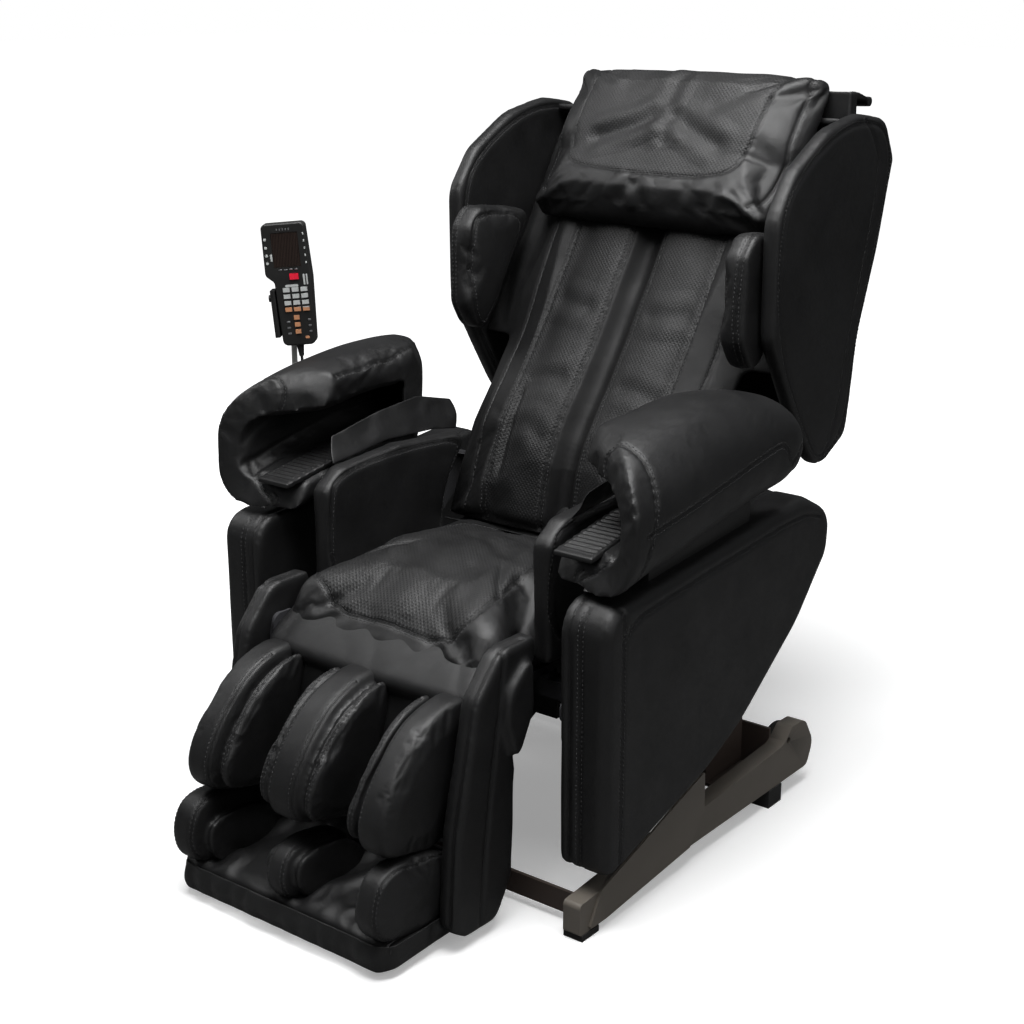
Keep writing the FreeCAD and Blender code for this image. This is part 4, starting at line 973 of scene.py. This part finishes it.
def make_armrests():
    work = Upholstery("arm_leather_left", "armrest_left")
    work.shrink(0.002)
    work.fill(0.009, lambda at, way: (way[:, 2] < -0.7) & (at[:, 2] < 0.62), 0.6)
    work.subdivide()
    slant = Vector((0, -math.cos(math.radians(14)), math.sin(math.radians(14))))
    face = Vector((0.36, -0.262, 0.52))
    outside = work.sliced(face, slant, lambda p: p.x > 0.345 or p.z > 0.672 or p.z < 0.545)
    work.seam(outside, rows=(1,), gathered=0.0005, depth=1.0)
    side = work.laid(LEFT, [(-252, 612), (-60, 642), (96, 668), (120, 662), (138, 632), (150, 628),
                            (200, 662)])
    work.seam(side, rows=(-1, 1), depth=0.9)
    top = work.laid(TOP, [(262, -150), (262, -100), (266, 30), (300, 110), (350, 165)])
    work.seam(top, rows=(-1,), gathered=0.0004)
    lip = work.laid(TOP, [(266, -262), (330, -262), (368, -246)], start=590)
    work.seam(lip, rows=(-1, 1))
    work.ripple(0.0016, 0.1, 7)
    work.mesh.materials.append(FINISHES["leather"])
    work.close(0.75)
    both_sides(work, 0.75)


def make_hand_pads():
    work = Upholstery("palm_leather", "hand_pads", voxel=0.003, smoothing=2)
    work.subdivide()
    for side in (-1, 1):
        for y in range(-250, -120, 11):
            work.crease(work.laid(TOP, [(side * 270, y), (side * 326, y)]), 0.0025, 0.0016, 0.0006, 0.04)
    work.mesh.materials.append(FINISHES["leather"])
    work.close(0.5)


RIDGE = [(16, 4), (24, 58), (62, 114), (128, 156), (196, 176), (240, 156), (246, 112), (236, 4)]
FOOT_BLOCK = [(-556, 44), (-598, 84), (-590, 140), (-560, 166), (-495, 160), (-416, 142), (-404, 44)]
FOOT_LEAF = [(-540, 40), (-574, 96), (-556, 132), (-470, 128), (-420, 96), (-412, 40)]
FOOT_MIDDLE = [(-554, 44), (-588, 84), (-578, 126), (-540, 144), (-450, 132), (-408, 60), (-408, 44)]


def bolster(work, plane, outline, start, end, rounding, inset=0.0, steps=5):
    """Adds a block with a rounded rim, from start to end across the plane, with the outline in side view."""
    turns = [math.radians(90 * k / steps) for k in range(steps + 1)]
    stops = [(start + rounding * (1 - math.cos(turn)), rounding * (1 - math.sin(turn))) for turn in turns]
    stops += [(start + end - across, depth) for across, depth in reversed(stops)]
    rings = []
    for across, depth in stops:
        ring = inset_outline(outline, depth + inset)
        rings.append([work.verts.new(plane.at(a, b, across)) for a, b in ring])
    count = len(rings[0])
    for lower, upper in zip(rings, rings[1:]):
        for k in range(count):
            work.faces.new((lower[k], lower[(k + 1) % count], upper[(k + 1) % count], upper[k]))
    work.faces.new(list(reversed(rings[0])))
    work.faces.new(rings[-1])


def bolsters(name, plane, parts):
    """One mesh of several blocks, each given as outline, start, end, rounding and inset."""
    work = bmesh.new()
    for part in parts:
        bolster(work, plane, *part)
    bmesh.ops.recalc_face_normals(work, faces=work.faces)
    mesh = bpy.data.meshes.new(name)
    work.to_mesh(mesh)
    work.free()
    return mesh


LEG_SIDE = Plane((0, -350, 372), LEG.across, LEG.out, (1, 0, 0))


def make_calf_pads():
    liner = Upholstery("calf_liner_leather", "calf_liner", smoothing=3)
    liner.subdivide()
    liner.ripple(0.003, 0.05, 9)
    # The calf liner is the darker copy, as painted shade in the wells.
    liner.mesh.materials.append(FINISHES["painted_shade_leather"])
    liner.close(0.4)
    shapes = {
        "left": [(RIDGE, 147, 198, 12, 0), (RIDGE, 123, 136, 6, 9), (RIDGE, 130, 150, 4, 26)],
        "centre": [(RIDGE, -29, 29, 12, 0), (RIDGE, 39, 52, 6, 9), (RIDGE, -52, -39, 6, 9),
                   (RIDGE, -46, 46, 4, 26)]}
    for name, parts in shapes.items():
        shape = bolsters("ridge_" + name, LEG_SIDE, parts)
        work = Upholstery("calf_leather_" + name, "calf_pad_" + name, voxel=0.004, smoothing=5, shape=shape)
        work.fill(0.004, lambda at, way: way @ np.array(LEG.out) < -0.2)
        work.subdivide()
        rows = {"left": ((152, (-1,)), (129.5, (-0.5, 0.5))),
                "centre": ((-24, (-1,)), (24, (1,)), (45.5, (-0.5, 0.5)), (-45.5, (-0.5, 0.5)))}[name]
        for x, stitches in rows:
            line = work.laid(LEG, [(x, 34), (x, 120), (x, 200), (x, 236)])
            work.seam(line, rows=stitches, width=0.5, depth=0.5)
        work.ripple(0.0012, 0.06, 11)
        work.mesh.materials.append(FINISHES["leather"])
        work.close(0.8)
        if name == "left":
            both_sides(work, 0.8)


def make_leg_covers():
    work = Upholstery("leg_cover_leather_left", "leg_cover_left", voxel=0.005, smoothing=3)
    work.subdivide()
    work.seam(work.laid(LEFT, [(-352, 432), (-366, 330), (-392, 180), (-408, 26)]), rows=())
    front = work.sliced(Vector((0.233, 0, 0)), Vector((1, 0, 0)), lambda p: p.y < -0.3 and p.z > 0.05)
    work.seam(front, rows=())
    work.ripple(0.0014, 0.08, 12)
    work.mesh.materials.append(FINISHES["leather"])
    work.close(0.85)
    both_sides(work, 0.85)


def make_foot_pads():
    side = [(FOOT_BLOCK, 164, 209, 12, 0), (FOOT_LEAF, 149, 159, 4, 0), (FOOT_LEAF, 152, 170, 4, 16)]
    other = [(outline, -end, -start, rounding, inset) for outline, start, end, rounding, inset in side]
    middle = [(FOOT_MIDDLE, -19, 19, 11, 0), (FOOT_LEAF, 25, 35, 4, 2), (FOOT_LEAF, -35, -25, 4, 2),
              (FOOT_LEAF, -30, 30, 4, 16)]
    for name, node, parts, places in (
            ("foot_side_leather", "foot_side_pads", side + other, (168, 204, -168, -204)),
            ("foot_centre_leather", "foot_centre_pad", middle, (-14, 14))):
        work = Upholstery(name, node, voxel=0.004, smoothing=5, shape=bolsters(name + "_shape", LEFT, parts))
        work.fill(0.005, lambda at, way: way[:, 2] < -0.6)
        work.subdivide()
        for x in places:
            line = work.sliced(Vector((x * MM, 0, 0)), Vector((1, 0, 0)), lambda p: p.z > 0.055)
            work.seam(line, rows=(-0.5, 0.5), width=0.6, depth=0.6)
        work.ripple(0.0022, 0.04, 13)
        work.mesh.materials.append(FINISHES["leather"])
        work.close(0.65)


FLAP_TUCK = -240


def make_head_flap():
    work = Upholstery("head_flap_leather", "head_flap", voxel=0.003, smoothing=2)
    points = points_of(work.mesh)
    tucked = points[:, 0] < FLAP_TUCK * MM
    points[tucked, 0] = FLAP_TUCK * MM + (points[tucked, 0] - FLAP_TUCK * MM) * 0.15
    move_points(work.mesh, points)
    work.ripple(0.003, 0.08, 14)
    work.seam(work.laid(TOP, [(-240, 574), (268, 574)]), rows=(-1,), width=0.6, depth=0.5)
    for side in (-0.87, 1):
        work.seam(work.laid(TOP, [(side * 272, 524), (side * 272, 578)]), rows=(1,), width=0.6, depth=0.5)
    work.mesh.materials.append(FINISHES["leather"])
    work.close(0.3)


def leather_sheet(name, edges, body=None, thickness=2.4, columns=36, rows=14,
                  wave=0.003, size=0.06, seed=0.0, stretch=(1, 1, 1)):
    """A folded sheet of leather through lines of points in millimetres, rounded from line to line."""
    lines = [even(np.array(edge, float), 1.0) for edge in edges]
    picked = [[line[int(round(k / columns * (len(line) - 1)))] for line in lines] for k in range(columns + 1)]
    strips = []
    for stack in picked:
        path = even(rounded(stack, False, 2), 1.0)
        strips.append([path[int(round(k / rows * (len(path) - 1)))] for k in range(rows + 1)])
    grid = np.array(strips).transpose(1, 0, 2) * MM
    faces = []
    for row in range(rows):
        for column in range(columns):
            first = row * (columns + 1) + column
            faces.append((first, first + 1, first + columns + 2, first + columns + 1))
    mesh = bpy.data.meshes.new(name)
    mesh.from_pydata(grid.reshape(-1, 3).tolist(), [], faces)
    made = add_object(name, mesh)
    points = points_of(mesh)
    shift = Vector((seed, seed, seed))
    drawn = Vector(stretch)
    lift = np.array([noise.noise(Vector(point) * drawn / size + shift) for point in points])
    lift = 0.6 - np.minimum(1, np.abs(lift) * 2.6)
    held_rows = np.repeat(np.sin(np.linspace(0, math.pi, rows + 1)) ** 0.5, columns + 1)
    move_points(mesh, points + normals_of(mesh) * (lift * wave * held_rows)[:, None])
    solid = made.modifiers.new("thickness", "SOLIDIFY")
    solid.thickness = thickness * MM
    solid.offset = 0
    finer = made.modifiers.new("finer", "SUBSURF")
    finer.levels = 2
    finer.render_levels = 2
    apply_modifiers(made)
    made.data.shade_smooth()
    made.data.materials.append(FINISHES["leather"])
    if body:
        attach(made, body)
    return made


def mirrored_lines(lines):
    return [[(-x, y, z) for x, y, z in line] for line in lines]


def make_aprons():
    """Leather that joins the seat to the back and to the leg rest."""
    rear = [[(-198, 36, 452), (0, 32, 456), (198, 36, 452)], [(-200, 70, 438), (0, 70, 438), (200, 70, 438)],
            [(-206, 100, 430), (0, 100, 430), (206, 100, 430)],
            [(-212, 118, 442), (0, 118, 442), (212, 118, 442)],
            [(-212, 126, 476), (0, 126, 476), (212, 126, 476)]]
    join = leather_sheet("seat_back_join", rear, wave=0.002)
    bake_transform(join)
    front = [[(-190, -290, 412), (-180, -300, 414), (0, -302, 414), (180, -300, 414), (190, -290, 412)],
             [(-202, -318, 398), (-190, -336, 396), (0, -340, 396), (190, -336, 396), (202, -318, 398)],
             [(-210, -334, 376), (-198, -366, 374), (0, -372, 374), (198, -366, 374), (210, -334, 376)],
             [(-208, -352, 358), (-196, -388, 354), (0, -394, 352), (196, -388, 354), (208, -352, 358)],
             [(-204, -358, 338), (-192, -380, 332), (0, -384, 330), (192, -380, 332), (204, -358, 338)]]
    apron = leather_sheet("seat_front_apron", front, columns=60,
                          rows=20, wave=0.0016, size=0.09, seed=2, stretch=(1.6, 1, 0.5))
    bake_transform(apron)


def make_arm_curtains():
    """Loose leather between the hip pads and the armrests' inner sides."""
    lines = [[(238, -190, 588), (238, -60, 602), (238, 60, 596), (236, 118, 586)],
             [(246, -186, 602), (248, -60, 622), (248, 60, 624), (242, 126, 618)],
             [(257, -172, 628), (257, -60, 648), (257, 40, 656), (253, 122, 636)]]
    for side, edges, seed in (("left", lines, 4), ("right", mirrored_lines(lines), 5)):
        curtain = leather_sheet("arm_curtain_" + side, edges,
                                wave=0.004, seed=seed)
        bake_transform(curtain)


def make_foot_cover():
    """Wrinkled leather over the foot tray, with a drooping hem in front and at the sides."""
    floor = [[(-206, -572, 40), (-70, -572, 40), (70, -572, 40), (206, -572, 40)],
             [(-206, -566, 54), (-70, -568, 58), (70, -568, 58), (206, -566, 54)],
             [(-206, -520, 58), (-70, -520, 66), (70, -520, 66), (206, -520, 58)],
             [(-206, -430, 62), (-70, -430, 72), (70, -430, 72), (206, -430, 62)],
             [(-206, -388, 100), (-70, -388, 108), (70, -388, 108), (206, -388, 100)]]
    leather_sheet("foot_valley_leather", floor, "foot_rest", columns=60, rows=30,
                  wave=0.009, size=0.06, seed=7, stretch=(1.6, 1, 0.6))
    hem = [[(-212, -420, 52), (-212, -560, 52), (-196, -578, 54), (0, -580, 56), (196, -578, 54),
            (212, -560, 52), (212, -420, 52)],
           [(-214, -420, 36), (-214, -562, 34), (-198, -584, 34), (0, -588, 34), (198, -584, 34),
            (214, -562, 34), (214, -420, 36)],
           [(-212, -420, 20), (-212, -560, 16), (-196, -578, 12), (0, -580, 14), (196, -578, 12),
            (212, -560, 16), (212, -420, 20)]]
    leather_sheet("foot_hem", hem, "foot_rest", columns=90, rows=10, wave=0.006,
                  size=0.07, seed=9, stretch=(2, 1, 0.5))


def make_rear_cover():
    """The panel behind the back, covered in leather with four upright seams."""
    work = Upholstery("rear_leather", "rear_cover", smoothing=2)
    work.subdivide()
    behind = Plane((0, 0, 0), (1, 0, 0), (0, 0, 1), (0, 1, 0))
    for x in (-286, -100, 100, 286):
        work.seam(work.laid(behind, [(x, 580), (x, 1090)]), rows=(-1, 1))
    work.ripple(0.0016, 0.1, 15)
    work.mesh.materials.append(FINISHES["leather"])
    work.close(0.9)


CORD = [
    (-412.94, -76.58, 724.52), (-411.5, -75.7, 705.9), (-423.5, -77, 671.5), (-424.5, -82, 627),
    (-424.5, -91, 575),
    (-424, -101, 523), (-422.5, -109, 471), (-420.5, -115, 419), (-418.5, -118, 367), (-416.5, -115, 317),
    (-414.5, -101, 275), (-412, -75, 252), (-409.5, -46, 256), (-407.5, -28, 284), (-406.5, -23, 325),
    (-407, -25, 368), (-408, -29, 408), (-408.5, -31, 432), (-408.5, -31, 452)]


def make_cord():
    """The handset's cord, from its strain relief down in a loop to the gland beside the stand's foot."""
    diameter = bpy.context.scene.chair_trim.cord_diameter
    curve = bpy.data.curves.new("handset_lead", "CURVE")
    curve.dimensions = "3D"
    spline = curve.splines.new("NURBS")
    spline.points.add(len(CORD) - 1)
    for point, place in zip(spline.points, CORD):
        point.co = (*(Vector(place) * MM), 1)
    spline.order_u = 3
    spline.use_endpoint_u = True
    spline.resolution_u = 10
    curve.bevel_depth = diameter / 2
    curve.bevel_resolution = 3
    curve.use_fill_caps = True
    lead = add_object("handset_lead", curve)
    curve.materials.append(FINISHES["rubber"])
    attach(lead, "seat")
    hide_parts("handset_cord")


HANDSET = Matrix.Translation(Vector((-425, -85, 847)) * MM) @ Matrix.Rotation(math.radians(35), 4, "Z") \
    @ Matrix.Rotation(math.radians(-5), 4, "Y")
HANDSET_HALF_DEPTH = 11


def rounded_tile(work, centre, size, height, corner, place, segments=5):
    """Adds a low pad with rounded corners that stands on the handset's face."""
    half = (size[0] / 2 - corner, size[1] / 2 - corner)
    outline = []
    for quarter, (sx, sz) in enumerate(((1, 1), (-1, 1), (-1, -1), (1, -1))):
        for step in range(segments + 1):
            turn = math.radians(90 * quarter + 90 * step / segments)
            outline.append((centre[0] + sx * half[0] + corner * math.cos(turn),
                            centre[1] + sz * half[1] + corner * math.sin(turn)))
    rings = []
    for share, depth in ((1, 0.6), (1, -height * 0.7), (0.86, -height)):
        ring = []
        for x, z in outline:
            spot = Vector((centre[0] + (x - centre[0]) * share, -HANDSET_HALF_DEPTH + depth,
                           centre[1] + (z - centre[1]) * share))
            ring.append(work.verts.new(place @ (spot * MM)))
        rings.append(ring)
    count = len(outline)
    for lower, upper in zip(rings, rings[1:]):
        for k in range(count):
            work.faces.new((lower[k], lower[(k + 1) % count], upper[(k + 1) % count], upper[k]))
    work.faces.new(rings[-1])
    work.faces.new(list(reversed(rings[0])))


def tiles(name, finish, spots):
    """Small raised marks on the handset, in one mesh."""
    work = bmesh.new()
    for centre, size, height, corner in spots:
        rounded_tile(work, centre, size, height, corner, HANDSET)
    bmesh.ops.recalc_face_normals(work, faces=work.faces)
    mesh = bpy.data.meshes.new(name)
    work.to_mesh(mesh)
    work.free()
    mesh.materials.append(FINISHES[finish])
    made = add_object(name, mesh)
    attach(made, "handset")
    return made


def make_handset():
    lamps = [((-32, z), (4.5, 4.5), 0.7, 1.6) for z in (78, 64, 51, 38)]
    lamps += [((33, z), (2.2, 4), 0.5, 0.9) for z in (84, 72, 60, 48, 36)]
    tiles("handset_lamps", "light_plastic", lamps)
    labels = [((-24.5, 47), (3.5, 12), 0.3, 0.8), ((4, -1.5), (22, 4), 0.35, 1.4),
              ((26, 8), (3, 18), 0.4, 1.2),
              ((31, 8), (2.5, 18), 0.4, 1.0), ((20, -90), (7, 4.5), 0.5, 2.0)]
    tiles("handset_labels", "light_plastic", labels)
    ticks = [((x, 93), (2.2, 3.6), 0.3, 0.8) for x in (-10, -5, 0, 5, 10)]
    ticks += [((x, 26), (6, 1.6), 0.3, 0.6) for x in (-12, -3, 6, 15)]
    ticks += [((-9, z), (6, 3), 0.4, 1.0) for z in (-62, -72, -82)]
    ticks += [((27, z), (5, 3), 0.4, 1.0) for z in (-60, -70, -80)]
    tiles("handset_marks", "aluminium", ticks)


# Studio

LENS = 60.57
CAMERA_PITCH = 17.312
CAMERA_AZIMUTH = 38.098
CAMERA_PLACE = (1.641, -2.1175, 1.342)
BOUNCE_SHARE = 0.16


def make_camera():
    camera = bpy.data.cameras.new("camera")
    camera.lens = LENS
    camera.sensor_width = 36
    camera.sensor_fit = "HORIZONTAL"
    camera.clip_end = 50
    pitch, azimuth = math.radians(CAMERA_PITCH), math.radians(CAMERA_AZIMUTH)
    level = math.cos(pitch)
    ahead = Vector((-math.sin(azimuth) * level, math.cos(azimuth) * level, -math.sin(pitch)))
    stand = add_object("camera", camera)
    stand.location = CAMERA_PLACE
    stand.rotation_euler = ahead.to_track_quat("-Z", "Y").to_euler()
    bpy.context.scene.camera = stand


def area_light(name, place, target, size, power):
    light = bpy.data.lights.new(name, "AREA")
    light.shape = "RECTANGLE"
    light.size, light.size_y = size
    light.energy = power
    lamp = add_object(name, light)
    lamp.location = place
    lamp.rotation_euler = (Vector(target) - Vector(place)).to_track_quat("-Z", "Y").to_euler()


def make_studio():
    studio = bpy.context.scene.chair_studio
    world = bpy.data.worlds.new("surround")
    world.use_nodes = True
    tree = world.node_tree
    backdrop = tree.nodes["Background"]
    backdrop.inputs["Color"].default_value = (1, 1, 1, 1)
    room = tree.nodes.new("ShaderNodeBackground")
    room.inputs["Color"].default_value = (0.96, 0.98, 1, 1)
    room.inputs["Strength"].default_value = studio.daylight
    both = tree.nodes.new("ShaderNodeMixShader")
    tree.links.new(tree.nodes.new("ShaderNodeLightPath").outputs["Is Camera Ray"], both.inputs[0])
    tree.links.new(room.outputs[0], both.inputs[1])
    tree.links.new(backdrop.outputs[0], both.inputs[2])
    tree.links.new(both.outputs[0], tree.nodes["World Output"].inputs["Surface"])
    bpy.context.scene.world = world
    bpy.context.scene.view_settings.view_transform = "Standard"
    mesh = bpy.data.meshes.new("studio_floor")
    work = bmesh.new()
    bmesh.ops.create_grid(work, x_segments=8, y_segments=8, size=30)
    work.to_mesh(mesh)
    work.free()
    floor = add_object("studio_floor", mesh)
    finish = Finish("studio_floor")
    seen = finish.add("ShaderNodeLightPath").outputs["Is Camera Ray"]
    tone = finish.mixed(seen, (*scaled(studio.floor_colour, BOUNCE_SHARE), 1), (*studio.floor_colour, 1))
    away = finish.add("ShaderNodeVectorMath", {"Vector": finish.place}, operation="LENGTH").outputs["Value"]
    glow = finish.spread(away, 0.7, 2.4, studio.floor_glow, 1.0)
    seen_glow = finish.add("ShaderNodeMath", operation="MULTIPLY")
    finish.feed(seen_glow.inputs[0], glow)
    finish.feed(seen_glow.inputs[1], seen)
    finish.shade(Base_Color=tone, Roughness=0.9, Emission_Color=(1, 1, 1, 1),
                 Emission_Strength=seen_glow.outputs["Value"])
    mesh.materials.append(finish.material)
    area_light("top_light", (0.3, -0.5, 3.1), (0, 0, 0.5), (2.0, 2.0), studio.top_light)
    area_light("left_light", (-3.1, -0.5, 2.4), (0, 0, 0.6), (1.4, 1.4), studio.left_light)
    area_light("right_light", (2.9, -0.7, 2.4), (0.3, 0, 0.6), (1.2, 1.2), studio.right_light)


# Operators and panel

def operator(label, words, action):
    """An operator that makes one piece or one group of like pieces."""
    def execute(self, context):
        action()
        return {"FINISHED"}

    name = "CHAIR_OT_" + action.__name__
    return type(name, (bpy.types.Operator,), {
        "__doc__": words, "bl_idname": "chair." + action.__name__, "bl_label": label, "execute": execute})


OPERATORS = [
    operator("Camera", "Adds the camera at the photograph's angle", make_camera),
    operator("Finishes", "Makes every leather, plastic, paint and metal", make_finishes),
    operator("Frame finishes", "Finishes the base, frame and mechanism", finish_frame),
    operator("Handset cord", "Hangs the handset's cord", make_cord),
    operator("Seat", "Upholsters the seat cushion", make_seat),
    operator("Back", "Upholsters the back pad", make_back),
    operator("Pillow", "Upholsters the head pillow", make_pillow),
    operator("Wings", "Upholsters the head wings and shoulder pads", make_wings),
    operator("Hip pads", "Upholsters the hip pads", make_hip_pads),
    operator("Armrests", "Upholsters the armrests", make_armrests),
    operator("Palm pads", "Upholsters the palm pads", make_hand_pads),
    operator("Side panels", "Upholsters the side panels", make_side_panels),
    operator("Calf pads", "Upholsters the calf liner and its pads", make_calf_pads),
    operator("Leg covers", "Upholsters the leg covers", make_leg_covers),
    operator("Foot pads", "Upholsters the foot blocks", make_foot_pads),
    operator("Head flap", "Upholsters the flap behind the head", make_head_flap),
    operator("Aprons", "Adds the leather between seat, back and leg rest", make_aprons),
    operator("Arm curtains", "Adds the loose leather beside the armrests", make_arm_curtains),
    operator("Foot cover", "Adds the wrinkled leather of the foot rest", make_foot_cover),
    operator("Rear cover", "Upholsters the panel behind the back", make_rear_cover),
    operator("Handset marks", "Adds the handset's lamps and marks", make_handset),
    operator("Studio", "Adds the floor and the lights", make_studio),
]


class CHAIR_PT_sidebar(bpy.types.Panel):
    """Sizes, colours and making steps of the massage chair"""
    bl_idname = "CHAIR_PT_sidebar"
    bl_label = "Massage Chair"
    bl_space_type = "VIEW_3D"
    bl_region_type = "UI"
    bl_category = "Massage Chair"

    def draw(self, context):
        for name, group in SETTINGS.items():
            box = self.layout.box()
            for key in group.__annotations__:
                box.prop(getattr(context.scene, name), key)
        for made in OPERATORS:
            self.layout.operator(made.bl_idname)


SETTINGS = {
    "chair_leather": LeatherSettings, "chair_sewing": SewingSettings, "chair_padding": PaddingSettings,
    "chair_trim": TrimSettings, "chair_studio": StudioSettings}


def register():
    for group in (*SETTINGS.values(), *OPERATORS, CHAIR_PT_sidebar):
        bpy.utils.register_class(group)
    for name, group in SETTINGS.items():
        setattr(bpy.types.Scene, name, PointerProperty(type=group))


def unregister():
    for name in SETTINGS:
        delattr(bpy.types.Scene, name)
    for group in reversed((*SETTINGS.values(), *OPERATORS, CHAIR_PT_sidebar)):
        bpy.utils.unregister_class(group)


def main():
    register()
    for made in OPERATORS:
        getattr(bpy.ops.chair, made.bl_idname.split(".")[1])()


if __name__ == "__main__":
    main()
